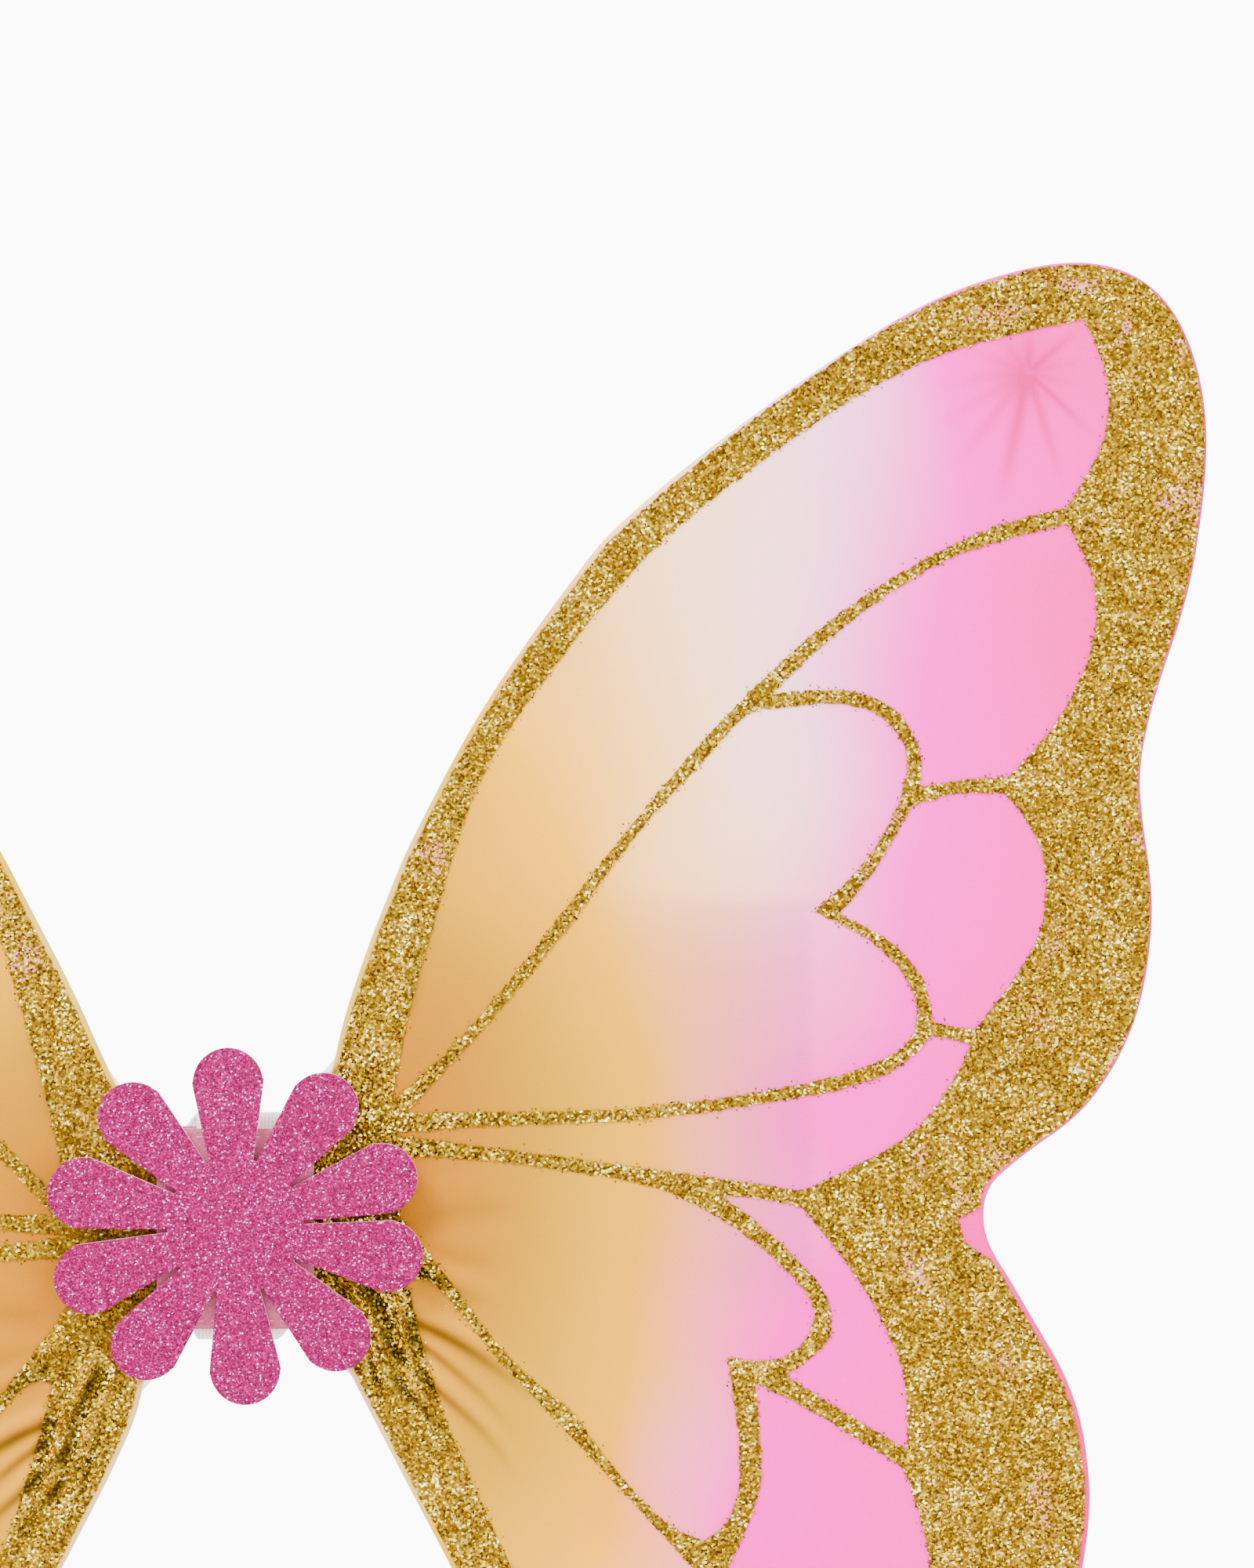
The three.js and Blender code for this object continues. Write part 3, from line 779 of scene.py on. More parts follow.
def foam_glitter():
    """Craft foam faced with pink hologram glitter: fine, with white and lilac glints painted into the base
    colour of a few flakes.
    """
    material, tree = new_material("pink glitter on craft foam")
    paint_of = colours()
    pick, other, normal = flakes(tree, sizes().fine_flake, 1.0)
    tone = ramp(tree, pick, [(0.0, paint_of.pink_deep), (0.3, linear("#640036")), (0.62, paint_of.pink),
                             (0.85, linear("#8c1858")), (0.97, linear("#a83c8c")), (1.0, linear("#e0b0f0"))])
    # Painted glints: a few flakes get a white or lilac base colour
    glint_tint = ramp(tree, other, [(0.0, linear("#c060b8")), (0.6, linear("#d8a0e8")), (1.0, linear("#fff4ff"))])
    glinting_flake = maths(tree, "GREATER_THAN", pick, 0.966)
    mixed = add(tree, "Mix", {0: glinting_flake, 6: tone, 7: glint_tint}, data_type="RGBA").outputs[2]
    output(tree, surface(tree, mixed, 0.45, normal, Specular_IOR_Level=0.06))
    return material


def cut_foam():
    """EVA foam, die cut: matt, with pores too small to see singly."""
    material, tree = new_material("EVA foam, die cut")
    pores = relief_of(tree, grain(tree, 0.0006), 0.3, 0.0001)
    output(tree, surface(tree, colours().foam, 0.7, pores))
    return material


def knit_nylon():
    """Sheer rib-knit nylon, dip dyed: lets light through, with fine slanting ribs."""
    material, tree = new_material("nylon rib knit, dip dyed")
    turned = add(tree, "Mapping", {"Vector": object_place(tree), "Rotation": (0, math.radians(28), 0)})
    place = add(tree, "SeparateXYZ", {0: turned.outputs[0]})
    pitch = sizes().rib
    rib = wave(tree, place.outputs[0], pitch)
    loop = wave(tree, place.outputs[2], 0.75 * pitch)
    knit = times(tree, plus(tree, times(tree, rib, loop), rib), 0.5)
    uneven = times(tree, knit, grain(tree, 0.0021))
    # The nylon's dye, with its painted fold shade and highlight
    dye = add(tree, "Attribute", attribute_name="dye").outputs["Color"]
    tint = scaled(tree, dye, maths(tree, "MULTIPLY_ADD", uneven, 0.2, 1.0))
    ribs = relief_of(tree, uneven, 0.35, 0.00012)
    cloth = surface(tree, tint, 0.6, ribs, Sheen_Weight=0.01, Specular_IOR_Level=0.05)
    through = add(tree, "BsdfTranslucent", {"Color": tint, "Normal": ribs})
    output(tree, add(tree, "MixShader", {0: 0.28, 1: cloth.outputs[0], 2: through.outputs[0]}))
    return material


def wool_felt():
    """Pressed felt: matt, hairy, with slightly uneven colour."""
    material, tree = new_material("pressed felt")
    hair = grain(tree, 0.0007, 5.0, 1.5)
    level = plus(tree, times(tree, hair, 0.7), times(tree, grain(tree, 0.006, 2.0), 0.3))
    tint = ramp(tree, level, [(0.3, linear("#7c3048")), (0.55, colours().felt), (0.75, linear("#b86c80"))])
    hairs = relief_of(tree, hair, 0.6, 0.0003)
    output(tree, surface(tree, tint, 0.92, hairs, Sheen_Weight=0.12, Sheen_Roughness=0.5))
    return material


def woven_band(name, tint, shadow, warp, weft):
    """A narrow woven band on its own UV map: long cords crossed by fine threads."""
    material, tree = new_material(name)
    place = add(tree, "SeparateXYZ", {0: add(tree, "TexCoord").outputs["UV"]})
    cord = maths(tree, "ABSOLUTE", wave(tree, place.outputs[0], 2 * warp))
    thread = plus(tree, wave(tree, place.outputs[1], weft), grain(tree, 0.0012))
    weave = plus(tree, cord, times(tree, thread, 0.22))
    shade = ramp(tree, weave, [(0.1, shadow), (0.7, tint)])
    cords = relief_of(tree, weave, 0.7, 0.0003)
    output(tree, surface(tree, shade, 0.8, cords, Sheen_Weight=0.2))
    return material


def cotton_tape():
    """Cotton twill tape wound in overlapping turns: each turn's edge casts a thin shade."""
    material, tree = new_material("cotton twill tape, wound")
    place = add(tree, "SeparateXYZ", {0: object_place(tree)})
    turn = 0.0085
    slanted = plus(tree, place.outputs[2], times(tree, place.outputs[0], 0.12))
    wound = maths(tree, "FRACT", maths(tree, "DIVIDE", slanted, turn))
    twill = wave(tree, plus(tree, place.outputs[0], place.outputs[2]), 0.0008)
    level = plus(tree, wound, times(tree, twill, 0.05))
    shade = ramp(tree, level, [(0.0, linear("#a99e90")), (0.12, colours().tape), (1.0, linear("#f6f1ea"))])
    turns = relief_of(tree, level, 0.8, 0.0005)
    output(tree, surface(tree, shade, 0.85, turns, Sheen_Weight=0.2))
    return material


def darker(tint, share):
    """A colour with a share of its brightness left."""
    return (*[c * share for c in tint[:3]], 1)


def spun_thread(name, tint):
    """Spun polyester thread: soft shine, twisted strands."""
    material, tree = new_material(name)
    strand = {"Vector": object_place(tree), "Scale": 1 / 0.0011, "Distortion": 1.0}
    twist = add(tree, "TexWave", strand).outputs[0]
    shade = ramp(tree, twist, [(0.0, darker(tint, 0.6)), (0.6, tint)])
    strands = relief_of(tree, twist, 0.5, 0.0001)
    output(tree, surface(tree, shade, 0.55, strands, Sheen_Weight=0.3))
    return material


def plain(name, tint, rough, metallic=0.0, size=0.0008, strength=0.15):
    """A hard surface with a faint grain in its tone and relief."""
    material, tree = new_material(name)
    faint = grain(tree, size)
    shade = ramp(tree, faint, [(0.3, darker(tint, 0.85)), (0.6, tint)])
    output(tree, surface(tree, shade, rough, relief_of(tree, faint, strength, 0.0001), Metallic=metallic))
    return material


# Pieces -----------------------------------------------------------------------------------

class FAIRY_OT_wires(bpy.types.Operator):
    """Coated steel wire that frames each wing, with its crimped sleeve"""
    bl_idname = "fairy.wires"
    bl_label = "Frame Wires"

    def execute(self, context):
        coat = plain("steel wire, white plastic coat", linear("#ece7e0"), 0.45)
        crimp = plain("steel sleeve, crimped", linear("#b9bcc0"), 0.35, 1.0, 0.0004, 0.3)
        for side in SIDES:
            line = smooth_run(wire_line(side), 2)
            places = from_wing(side, line[:, 0], np.full(len(line), WING_Y), line[:, 1])
            deselect()
            curve = bpy.data.curves.new(f"{side}_wire", "CURVE")
            curve.dimensions = "3D"
            curve.bevel_depth = WIRE_RADIUS * MM
            curve.bevel_resolution = 3
            curve.use_fill_caps = True
            spline = curve.splines.new("POLY")
            spline.points.add(len(places) - 1)
            spline.points.foreach_set("co", np.hstack([places, np.ones((len(places), 1))]).ravel())
            wire = bpy.data.objects.new(f"{side}_wire", curve)
            context.scene.collection.objects.link(wire)
            only(wire)
            bpy.ops.object.convert(target="MESH")
            finish_piece(context.object, f"{side}_wing_wire", f"{side}_wing", "wire", coat,
                         replaces=[f"{side}_frame_wire"])
            sleeve = frame["nodes"][f"{side}_wire_sleeve"]
            sleeve.data.materials.clear()
            sleeve.data.materials.append(crimp)
        return {"FINISHED"}


# Rows of points inside a wing's edge, where the nylon turns over its wire, in mm
HEM = (0.25, 0.6, 1.1, 1.7, 2.5, 3.6)


class FAIRY_OT_cloth(bpy.types.Operator):
    """Nylon sleeve of each wing, front and back, stretched over the wire"""
    bl_idname = "fairy.cloth"
    bl_label = "Nylon"

    def execute(self, context):
        nylon = knit_nylon()
        for side in SIDES:
            cloth = WingCloth(side)
            ring = cloth.edge
            rows = [ring + inward(ring) * step for step in HEM]
            free = cloth_points(ring, sizes().cloth_step / MM, sizes().fold_step / MM)
            free = np.vstack([*rows, free[distance(free, cloth.edge_tree) > HEM[-1] + 1]])
            for face in ("front", "back"):
                piece, _ = cloth.mesh(f"{side}_{face}", [ring], free, 0, face == "front", face == "back")
                modify(piece, "SOLIDIFY", thickness=sizes().nylon, offset=-1)
                finish_piece(piece, f"{side}_{face}_nylon", f"{side}_wing", "nylon", nylon,
                             replaces=[f"{side}_{face}_skin"], smooth=70)
        return {"FINISHED"}


# Worn places in the glitter: place, size across and along, slant in degrees, and strength
WORN = [
    (58, 108, 4, 7, 25, 0.35), (222, 268, 9, 3, 10, 0.3), (246, 276.5, 7, 1.8, -5, 0.75),
    (223, 279, 6, 1.5, 15, 0.7), (260, 262, 1.5, 4, -20, 0.5), (277, 257, 2, 3, -30, 0.6),
    (275, 213, 4, 6, 0, 0.45), (282, 214, 1.5, 10, 0, 0.6), (263, 115, 1.2, 3, 0, 0.85),
    (240, 84, 1.6, 9, -10, 0.3), (235, 60, 3, 10, 25, 0.25), (200, 20, 1.5, 8, -12, 0.4),
    (199, -12, 3, 7, 20, 0.4), (224, 20, 2.5, 3, 0, 0.5), (226, -40, 2, 6, 30, 0.45),
    (258, 50, 2, 8, -25, 0.35), (212, 10, 3, 5, 0, 0.3), (236, -80, 3, 9, 10, 0.3),
    (222, -130, 3, 8, 30, 0.3), (150, -192, 8, 3, 10, 0.3), (188, 112, 2.2, 16, -30, 0.25),
]


def wear(points):
    """Share of the glitter that is worn off at points of the wing."""
    share = np.zeros(len(points))
    for x, z, across, along, slant, strength in WORN:
        c, s = math.cos(math.radians(slant)), math.sin(math.radians(slant))
        off = points - np.array([x, z])
        u = (off @ np.array([c, s])) / across
        v = (off @ np.array([-s, c])) / along
        share = np.maximum(share, 0.7 * strength * np.exp(-(u * u + v * v) ** 1.5))
    return share


class FAIRY_OT_glitter(bpy.types.Operator):
    """Gold glitter veins and borders, with loose flakes beside them"""
    bl_idname = "fairy.glitter"
    bl_label = "Glitter"

    def execute(self, context):
        gold = gold_glitter()
        for side in SIDES:
            cloth = WingCloth(side)
            turn = np.random.default_rng(11)
            rings = []
            for k, ring in enumerate(front_outlines(side, "glitter")):
                even = smooth_ring(ring, 0.75)
                if k == 0:
                    spread = 0.85 * ease((even[:, 0] - 110) / 60) * ease((even[:, 1] - 10) / 15)
                    even = even - inward(even) * spread[:, None]
                jitter = turn.normal(0, 0.55, len(even)) * sizes().ragged / MM
                rings.append(even + normals(even) * jitter[:, None])
            free = cloth_points(rings[0], sizes().cloth_step / MM, 1.1)
            near = tree_of(np.vstack(rings))
            free = free[distance(free, near) > 0.7]
            lift = sizes().glitter / MM + 0.12
            piece, points = cloth.mesh(f"{side}_gold", rings, free, lift)
            paint(piece, "worn", wear(points))
            modify(piece, "SOLIDIFY", thickness=sizes().glitter, offset=-1)
            finish_piece(piece, f"{side}_gold_glitter", f"{side}_wing", "gold_glitter", gold,
                         replaces=[f"{side}_glitter"], smooth=60)
            self.loose(side, cloth, rings, gold, turn)
        return {"FINISHED"}

    def loose(self, side, cloth, rings, gold, turn):
        """Flakes that strayed past the edges of the print: flat diamonds on the nylon."""
        edge = np.vstack([smooth_ring(r, 0.5) for r in rings])
        pick = turn.integers(0, len(edge), sizes().strays)
        places = edge[pick] + turn.normal(0, 0.75, (len(pick), 2))
        places = places[distance(places, cloth.edge_tree) > 2.2]
        height = relief(places, cloth.edge_tree, cloth.wire_tree)[0]
        radius = turn.uniform(0.2, 0.36, len(places))
        spin = turn.uniform(0, 2 * math.pi, len(places))
        points = []
        for k in range(4):
            angle = spin + k * math.pi / 2
            points.append(np.stack([places[:, 0] + radius * np.cos(angle), WING_Y - height - 0.16,
                                    places[:, 1] + radius * np.sin(angle)], 1))
        for off in (0.3, 0.02):
            points.append(np.stack([places[:, 0], WING_Y - height - off, places[:, 1]], 1))
        points = np.stack(points, 1).reshape(-1, 3)
        first = np.array([(0, 1, 4), (1, 2, 4), (2, 3, 4), (3, 0, 4),
                          (1, 0, 5), (2, 1, 5), (3, 2, 5), (0, 3, 5)])
        if side == "left":
            first = first[:, ::-1]
        faces = (first[None] + 6 * np.arange(len(places))[:, None, None]).reshape(-1, 3)
        piece = mesh_piece("loose", from_wing(side, *points.T), faces)
        paint(piece, "worn", np.zeros(len(points)))
        finish_piece(piece, f"{side}_loose_flakes", f"{side}_wing", "gold_glitter", gold, smooth=0)


class FAIRY_OT_gathers(bpy.types.Operator):
    """Gathered end of each nylon sleeve, tied behind the upper tip"""
    bl_idname = "fairy.gathers"
    bl_label = "Gathered Tips"

    def execute(self, context):
        nylon = knit_nylon()
        thread = spun_thread("polyester thread, wound", colours().thread)
        for side in SIDES:
            low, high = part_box(f"{side}_tip_gather")
            middle = (low + high) / 2
            wide, deep = (high.x - low.x) / 2, high.y - low.y
            profile = [(0.98, 0.0), (1.0, 0.06), (0.72, 0.13), (0.42, 0.22), (0.29, 0.31), (0.27, 0.42),
                       (0.31, 0.52), (0.5, 0.62), (0.66, 0.72), (0.72, 0.8), (0.7, 0.9), (0.6, 0.985)]
            around, folds = 96, 11
            points = []
            for i, (radius, along) in enumerate(profile):
                for k in range(around):
                    a = 2 * math.pi * k / around
                    pleat = math.cos(folds * a + 1.7 * along) + 0.4 * math.cos(5 * a + 2 + 3 * along)
                    r = wide * radius * (1 + 0.15 * pleat * (0.35 if i in (0, 1) else 1)) * 0.86
                    dip = 0.04 * pleat if i > 7 else 0
                    points.append((middle.x + r * math.cos(a), low.y + deep * (along - abs(dip)),
                                   middle.z + r * math.sin(a)))
            rows = len(profile)
            faces = tube_faces(rows, around)
            points += [(middle.x, low.y + 0.02 * deep, middle.z), (middle.x, low.y + deep * 0.84, middle.z)]
            bottom, top = len(points) - 2, len(points) - 1
            faces += [(bottom, (k + 1) % around, k) for k in range(around)]
            last = (rows - 1) * around
            faces += [(top, last + k, last + (k + 1) % around) for k in range(around)]
            tuft = mesh_piece("tuft", points, faces)
            face_outwards(tuft)
            depth = np.array([p[1] for p in points])
            # The tuft is painted darker towards its front end, by the wing: three quarters as bright there
            # as at its back end
            tint = np.outer(0.75 + 0.25 * np.clip((depth - low.y) / deep, 0, 1), linear("#f98fcc")[:3])
            paint(tuft, "dye", tint)
            finish_piece(tuft, f"{side}_gathered_tip", f"{side}_wing", "nylon", nylon,
                         replaces=[f"{side}_tip_gather"], smooth=50)
            tie = self.tie(side)
            finish_piece(tie, f"{side}_wound_tie", f"{side}_wing", "thread", thread,
                         replaces=[f"{side}_tip_tie"], smooth=60)
        return {"FINISHED"}

    @staticmethod
    def tie(side):
        """Four turns of thread and a small knot."""
        low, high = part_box(f"{side}_tip_tie")
        middle = (low + high) / 2
        thick = (high.y - low.y) / 8
        radius = (high.x - low.x) / 2 - 1.6 * thick
        turns = []
        for k in range(4):
            deselect()
            bpy.ops.mesh.primitive_torus_add(
                location=(middle.x, low.y + thick * (2 * k + 1), middle.z),
                rotation=(math.pi / 2 + 0.06 * (-1) ** k, 0.05 * k, 0), major_segments=40, minor_segments=8,
                major_radius=radius, minor_radius=thick * 1.15)
            turns.append(bpy.context.object)
        bpy.ops.mesh.primitive_ico_sphere_add(subdivisions=2, radius=thick * 2.4,
                                              location=(middle.x, middle.y, middle.z - radius))
        turns.append(bpy.context.object)
        return join(turns)


class FAIRY_OT_flower(bpy.types.Operator):
    """Foam flower faced with glitter, and the glue that holds it"""
    bl_idname = "fairy.flower"
    bl_label = "Flower"

    def execute(self, context):
        low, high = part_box("flower")
        ring = outlines("flower", Vector((0, -1, 0)), Vector((1, 0, 0)))[0]
        even = smooth_ring(ring, 0.7)
        rim = 0.3
        rows = [even + inward(even) * step for step in (0.12, rim, 1.0)]
        free = grid(even.min(0), even.max(0), 1.6)
        tree = tree_of(even)
        free = free[distance(free, tree) > 1.7]
        points, triangles = filled([even], np.vstack([*rows, free]))
        far = distance(points, tree)
        reach = np.linalg.norm(points, axis=1)
        angle = np.arctan2(points[:, 1], points[:, 0])
        lift = 0.55 * np.sin(3 * angle + 0.6) + 0.45 * np.sin(7 * angle + 2)
        bend = lift * ease((reach - 16) / 40) + 0.5 * ease((reach - 12) / 44)
        dome = 0.35 * np.exp(-(reach / 15) ** 2)
        round_off = rim - np.sqrt(np.clip(rim ** 2 - (rim - np.minimum(far, rim)) ** 2, 0, None))
        thick = (high.y - low.y) / MM
        front = low.y / MM + 0.5 - dome + round_off + bend
        rear = low.y / MM + 0.5 + thick - 0.2 + bend - 0.3 * dome
        count = len(points)
        triangles = anticlockwise(points, triangles)
        edges = dict.fromkeys(pair for a, b, c in triangles.tolist() for pair in ((a, b), (b, c), (c, a)))
        border = [(a, b) for a, b in edges if (b, a) not in edges]
        sides = [(b, a, a + count) for a, b in border] + [(b, a + count, b + count) for a, b in border]
        faces = [*triangles.tolist(), *(triangles[:, ::-1] + count).tolist(), *sides]
        xyz = np.vstack([np.stack([points[:, 0], front, points[:, 1]], 1),
                         np.stack([points[:, 0], rear, points[:, 1]], 1)]) * MM
        flower = mesh_piece("flower_sheet", xyz, faces)
        finish_piece(flower, "foam_flower", "hub", "glitter_foam", foam_glitter(), cut_foam(),
                     replaces=["flower"], smooth=35)
        for face in flower.data.polygons[len(triangles):]:
            face.material_index = 1
        self.glue()
        return {"FINISHED"}

    @staticmethod
    def glue():
        """A pressed blob of hot glue with a wavy edge."""
        low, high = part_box("flower_glue")
        middle = (low + high) / 2
        deselect()
        bpy.ops.mesh.primitive_cylinder_add(vertices=72, radius=(high.x - low.x) / 2 * 0.94,
                                            depth=high.y - low.y, location=middle,
                                            rotation=(math.pi / 2, 0, 0), end_fill_type="TRIFAN")
        blob = bpy.context.object
        bpy.ops.object.transform_apply(location=True, rotation=True, scale=True)
        modify(blob, "BEVEL", width=0.0004, segments=3, limit_method="ANGLE")
        for vert in blob.data.vertices:
            off = Vector((vert.co.x - middle.x, 0, vert.co.z - middle.z))
            angle = math.atan2(off.z, off.x)
            vert.co += off * (0.035 * math.sin(5 * angle) + 0.02 * math.sin(9 * angle + 1))
        glue = plain("hot-melt glue, pressed", linear("#efe6cf"), 0.3, 0.0, 0.002, 0.2)
        finish_piece(blob, "glue_blob", "hub", "glue", glue, replaces=["flower_glue"])


class FAIRY_OT_pads(bpy.types.Operator):
    """Felt pads in front of and behind the bound wires, with their running stitch"""
    bl_idname = "fairy.pads"
    bl_label = "Pads"

    def execute(self, context):
        felt = wool_felt()
        thread = spun_thread("polyester sewing thread", colours().thread)
        for name, crown in (("front_pad", -1), ("back_pad", 1)):
            low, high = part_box(name)
            deselect()
            bpy.ops.mesh.primitive_cube_add(size=1, location=(low + high) / 2, scale=high - low)
            pad = bpy.context.object
            bpy.ops.object.transform_apply(location=True, rotation=True, scale=True)
            edit(pad, lambda e: abs((e.verts[0].co - e.verts[1].co).y) > 1e-6, "EDGE")
            bpy.ops.mesh.bevel(offset=0.003, segments=7, profile=0.5)
            leave_edit()
            edit(pad, lambda f: abs(f.normal.y) > 0.9)
            for step in (0.0005, 0.0007, 0.0008, 0.0006):
                bpy.ops.mesh.inset(thickness=step, depth=0)
            bpy.ops.mesh.poke()
            leave_edit()
            self.crown(pad, low, high, crown)
            finish_piece(pad, f"{name.split('_')[0]}_felt_pad", "hub", "pad", felt, replaces=[name])
            self.stitches(name, low, high, crown, thread)
        return {"FINISHED"}

    @staticmethod
    def crown(pad, low, high, outer):
        """The sewn margin is pressed in on the pad's outer face and the rims are rounded."""
        middle = (low + high) / 2
        half = (high - low) / 2
        for vert in pad.data.vertices:
            off = vert.co - middle
            to_rim = min(half.x - abs(off.x), half.z - abs(off.z)) / MM
            edge = max(0.0, 1 - to_rim / 0.8) * 0.55
            seam = 0.35 * math.exp(-((to_rim - 2.3) / 0.9) ** 2) if off.y * outer > 0 else 0.0
            vert.co.y -= math.copysign(edge + seam, off.y) * MM

    @staticmethod
    def stitches(name, low, high, outer, thread):
        """Running stitches along the pad's margin on its outer face."""
        inset, radius = 0.0024, 0.00028
        x, z = (high.x - low.x) / 2 - inset, (high.z - low.z) / 2 - inset
        y = (high.y if outer > 0 else low.y) - outer * 0.0004
        step = sizes().stitch * 1.5
        route = []
        for sx, sz, ex, ez in ((-x, -z, x, -z), (x, -z, x, z), (x, z, -x, z), (-x, z, -x, -z)):
            count = max(1, int(math.hypot(ex - sx, ez - sz) / step))
            route += [((sx + (ex - sx) * (k + 0.5) / count), (sz + (ez - sz) * (k + 0.5) / count),
                       math.atan2(ez - sz, ex - sx)) for k in range(count)]
        middle = (low + high) / 2
        made = []
        for cx, cz, angle in route:
            deselect()
            bpy.ops.mesh.primitive_uv_sphere_add(
                segments=8, ring_count=6, radius=1,
                location=(middle.x + cx, y, middle.z + cz), rotation=(0, -angle, 0),
                scale=(sizes().stitch / 2, radius, radius))
            made.append(bpy.context.object)
        finish_piece(join(made), f"{name}_stitches", "hub", "thread", thread)


class FAIRY_OT_binding(bpy.types.Operator):
    """Tape-wound core that holds the wires and the strap tails"""
    bl_idname = "fairy.binding"
    bl_label = "Centre Binding"

    def execute(self, context):
        node = frame["nodes"]["centre_binding"]
        core = bpy.data.objects.new("core", node.data.copy())
        context.scene.collection.objects.link(core)
        core.data.materials.clear()
        edit(core)
        bpy.ops.mesh.remove_doubles(threshold=1e-6)
        bpy.ops.mesh.dissolve_limited(angle_limit=math.radians(2))
        leave_edit()
        modify(core, "BEVEL", width=0.0009, segments=3, limit_method="ANGLE", angle_limit=math.radians(50),
               harden_normals=False)
        modify(core, "TRIANGULATE")
        finish_piece(core, "wound_core", "hub", "tape", cotton_tape(), replaces=["centre_binding"])
        return {"FINISHED"}


class FAIRY_OT_straps(bpy.types.Operator):
    """Woven elastic arm loops, sewn to the hub at both ends"""
    bl_idname = "fairy.straps"
    bl_label = "Arm Loops"

    def execute(self, context):
        elastic = woven_band("flat woven elastic", colours().elastic, linear("#c9c2b8"), 0.0011, 0.0007)
        for side in SIDES:
            joint = next(j for j in frame["joints"] if j["name"] == f"{side}_strap_swing")
            pivot = Vector(joint["pos_m"])
            node = f"{side}_strap"
            splay = self.splay(node, pivot)
            back, across = self.ways(splay)
            side_view = outlines(node, across, back)[0]
            side_view[:, 0] -= pivot.dot(back) / MM
            line = self.middle_line(side_view)
            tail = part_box(f"{side}_strap_upper_tail")
            low, high = tail[0].z / MM, tail[1].z / MM
            ends = np.array([(0, low + 0.5), (0, (low + high) / 2), (0, high - 1)])
            route = smooth_run(np.vstack([ends, line[1:-1], ends[::-1] * (1, -1)]), 1.2)
            self.band(side, route, pivot, splay, elastic, tail[1].x - tail[0].x)
        return {"FINISHED"}

    @staticmethod
    def splay(node, pivot):
        """Angle of the loop outwards from straight back, from its farthest points."""
        points = [v.co for v in frame["nodes"][node].data.vertices]
        reach = max((p - pivot).xy.length for p in points)
        ends = [p.xy for p in points if (p - pivot).xy.length > 0.97 * reach]
        mean = sum(ends, Vector((0, 0))) / len(ends) - pivot.xy
        return math.atan2(mean.x, mean.y)

    @staticmethod
    def ways(angle):
        """Ways back along a loop that is splayed by an angle, and across its band."""
        back = Vector((math.sin(angle), math.cos(angle), 0))
        return back, Vector((back.y, -back.x, 0))

    @staticmethod
    def middle_line(outline):
        """Middle line of a bent band from its side view, from its upper end to its lower one."""
        count = len(outline)
        low = [i for i in range(count)
               if outline[i, 0] < 1 and outline[(i + 1) % count, 0] < 1 and outline[i, 1] > 0
               and abs(outline[i, 1] - outline[(i + 1) % count, 1]) < 0.3]
        start = (low[0] + 1) % count
        turned = np.roll(outline, -start, 0)
        half = count // 2
        return (turned[:half] + turned[::-1][:half]) / 2

    def band(self, side, route, pivot, splay, elastic, width):
        """The band along its route, turned out by splay once it is clear of the hub."""
        thick = size_of(f"{side}_strap_upper_tail").y
        half_width, half_thick = width / MM / 2, thick / 2
        under = [(-1, -0.35), (-0.97, -0.8), (-0.9, -1), (-0.45, -1), (0, -1), (0.45, -1), (0.9, -1),
                 (0.97, -0.8), (1, -0.35)]
        profile = under + [(-u, -v) for u, v in under]
        along = np.gradient(route, axis=0)
        along /= np.linalg.norm(along, axis=1)[:, None]
        turn = ease(route[:, 0] / 9) * splay
        run = np.concatenate([[0], np.cumsum(np.linalg.norm(np.diff(route, axis=0), axis=1))])
        points = []
        flat = []
        for (depth, height), (ddepth, dheight), angle, passed in zip(route, along, turn, run):
            back, across = self.ways(angle)
            centre = pivot + back * depth * MM + Vector((0, 0, height - pivot.z / MM)) * MM
            out = back * dheight - Vector((0, 0, 1)) * ddepth
            for u, v in profile:
                points.append(centre + (across * u * half_width + out * v * half_thick) * MM)
                flat.append((u * half_width * MM, passed * MM))
        ring = len(profile)
        rows = len(route)
        faces = tube_faces(rows, ring)
        faces += [tuple(range(ring))[::-1], tuple(range((rows - 1) * ring, rows * ring))]
        piece = mesh_piece("band", points, faces)
        layer = piece.data.uv_layers.new(name="UVMap")
        for loop in piece.data.loops:
            layer.data[loop.index].uv = flat[loop.vertex_index]
        face_outwards(piece)
        finish_piece(piece, f"{side}_arm_loop", None, "elastic", elastic,
                     replaces=[f"{side}_strap", f"{side}_strap_upper_tail", f"{side}_strap_lower_tail"])
        back = self.ways(splay)[0]
        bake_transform(piece)


# Stage ------------------------------------------------------------------------------------

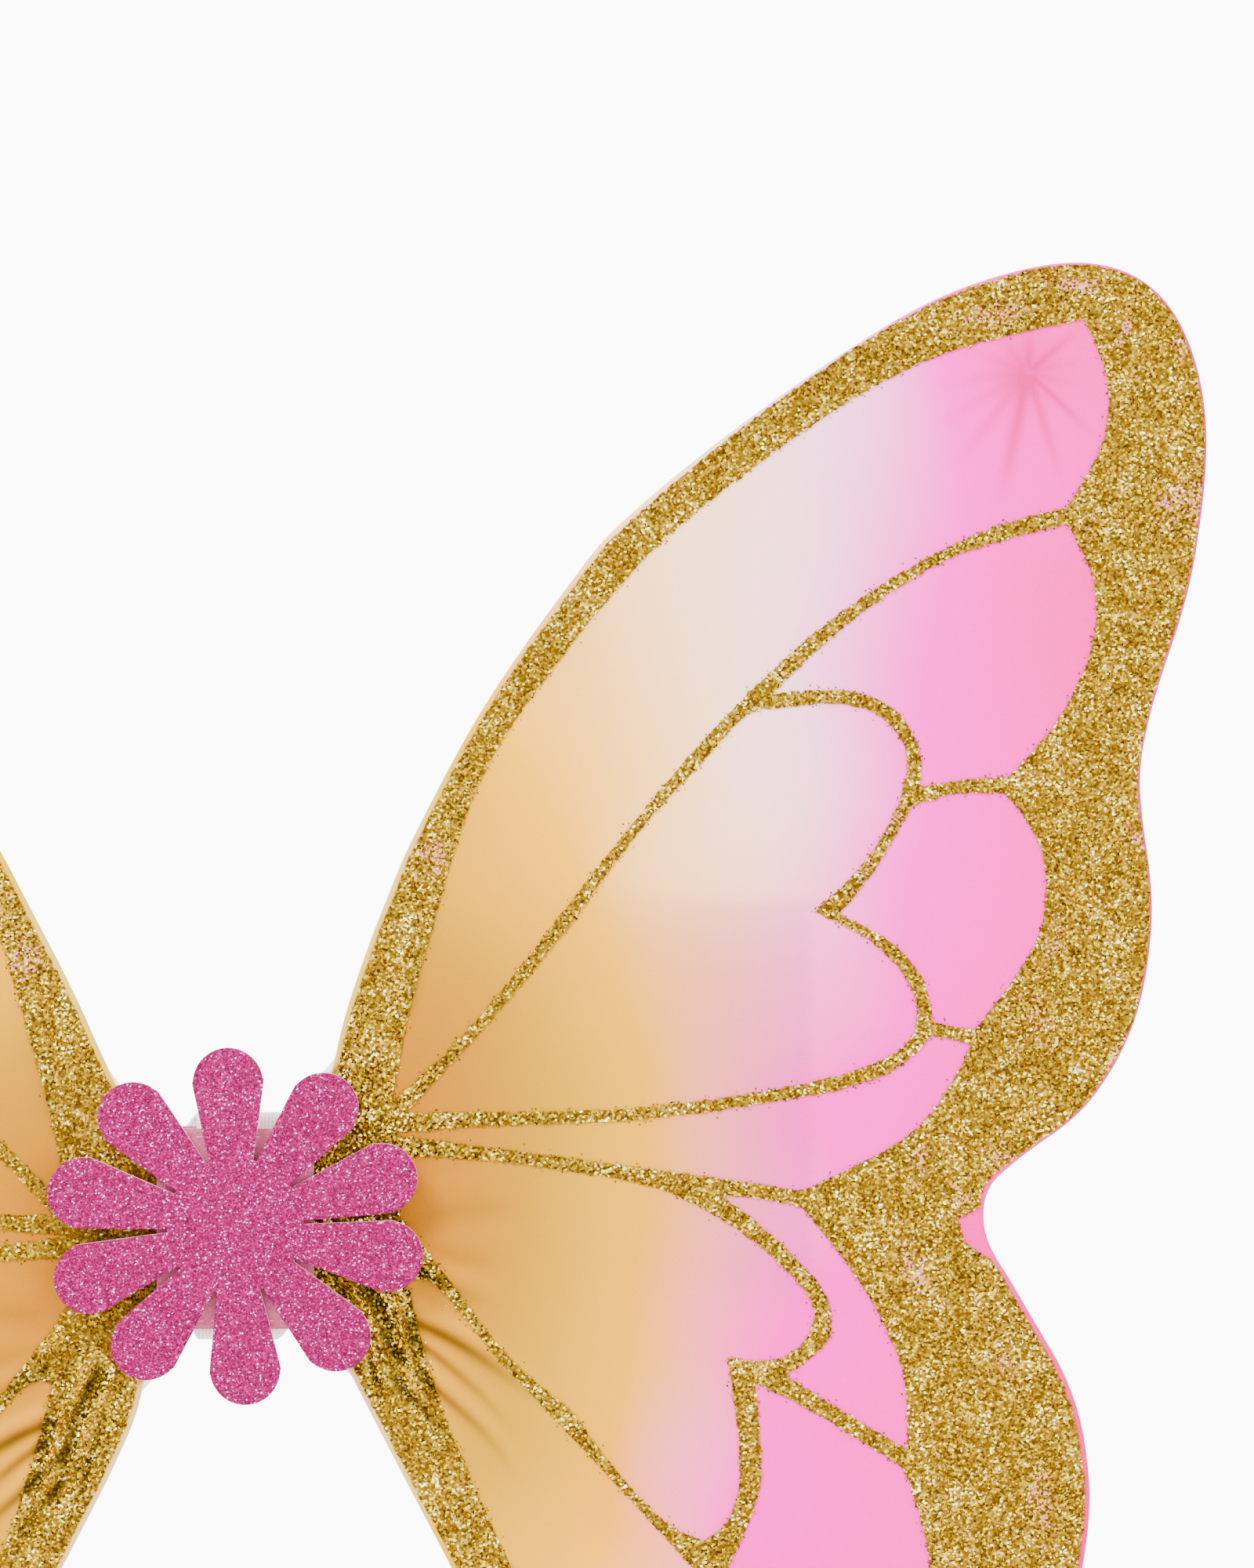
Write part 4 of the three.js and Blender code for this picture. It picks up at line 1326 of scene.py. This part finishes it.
class FAIRY_OT_stage(bpy.types.Operator):
    """Camera, soft studio lamps and a pale floor"""
    bl_idname = "fairy.stage"
    bl_label = "Stage"

    def execute(self, context):
        scene = context.scene
        lens, sensor, tall = 135.0, 36.0, 0.46
        far = lens / sensor * tall
        camera = bpy.data.objects.new("camera", bpy.data.cameras.new("camera"))
        camera.data.lens = lens
        camera.data.sensor_width = sensor
        camera.data.clip_end = 50
        camera.location = (0.1145, WING_Y * MM - far, 0.130)
        camera.rotation_euler = (math.pi / 2, 0, 0)
        scene.collection.objects.link(camera)
        scene.camera = camera
        self.world(scene)
        aim = Vector((0.08, 0, 0.05))
        for name, place, size, power in (
                ("key", (-1.0, -1.3, 1.7), 0.8, 125), ("fill", (1.5, -1.6, 0.3), 1.4, 34),
                ("behind", (0.4, 1.6, 0.9), 1.6, 80)):
            lamp = bpy.data.objects.new(name, bpy.data.lights.new(name, "AREA"))
            lamp.data.size = size
            lamp.data.energy = power
            lamp.location = place
            lamp.rotation_euler = (aim - Vector(place)).to_track_quat("-Z", "Y").to_euler()
            scene.collection.objects.link(lamp)
        deselect()
        bpy.ops.mesh.primitive_circle_add(vertices=96, radius=1.25, fill_type="NGON",
                                          location=(0, 0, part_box("left_frame_wire")[0].z - 0.06))
        floor = context.object
        floor.name = "floor"
        floor.data.materials.append(plain("matt paper floor", linear("#f4f3f1"), 0.9, 0.0, 0.01, 0.0))
        return {"FINISHED"}

    @staticmethod
    def world(scene):
        """Even white surroundings, brighter to look at than to be lit by."""
        world = bpy.data.worlds.new("studio")
        world.use_nodes = True
        tree = world.node_tree
        seen = add(tree, "LightPath").outputs["Is Camera Ray"]
        strength = maths(tree, "MULTIPLY_ADD", seen, 8.0, 2.9)
        tree.links.new(strength, tree.nodes["Background"].inputs[1])
        tree.nodes["Background"].inputs[0].default_value = (1, 1, 1, 1)
        scene.world = world


STEPS = (FAIRY_OT_stage, FAIRY_OT_wires, FAIRY_OT_cloth, FAIRY_OT_glitter, FAIRY_OT_gathers,
         FAIRY_OT_flower, FAIRY_OT_pads, FAIRY_OT_binding, FAIRY_OT_straps)


class FAIRY_PT_panel(bpy.types.Panel):
    """Sizes, colours and pieces of the fairy wings"""
    bl_idname = "FAIRY_PT_panel"
    bl_label = "Fairy Wings"
    bl_space_type = "VIEW_3D"
    bl_region_type = "UI"
    bl_category = "Fairy Wings"

    def draw(self, context):
        for group in (context.scene.fairy_sizes, context.scene.fairy_colours):
            for key in group.bl_rna.properties.keys():
                if key not in {"rna_type", "name"}:
                    self.layout.prop(group, key)
        for step in STEPS:
            self.layout.operator(step.bl_idname)


CLASSES = (FairyWingsSizes, FairyWingsColours, *STEPS, FAIRY_PT_panel)


def register():
    for item in CLASSES:
        bpy.utils.register_class(item)
    bpy.types.Scene.fairy_sizes = PointerProperty(type=FairyWingsSizes)
    bpy.types.Scene.fairy_colours = PointerProperty(type=FairyWingsColours)


def unregister():
    del bpy.types.Scene.fairy_colours
    del bpy.types.Scene.fairy_sizes
    for item in reversed(CLASSES):
        bpy.utils.unregister_class(item)


def main():
    register()
    for step in STEPS:
        group, name = step.bl_idname.split(".")
        getattr(getattr(bpy.ops, group), name)()


if __name__ == "__main__":
    main()
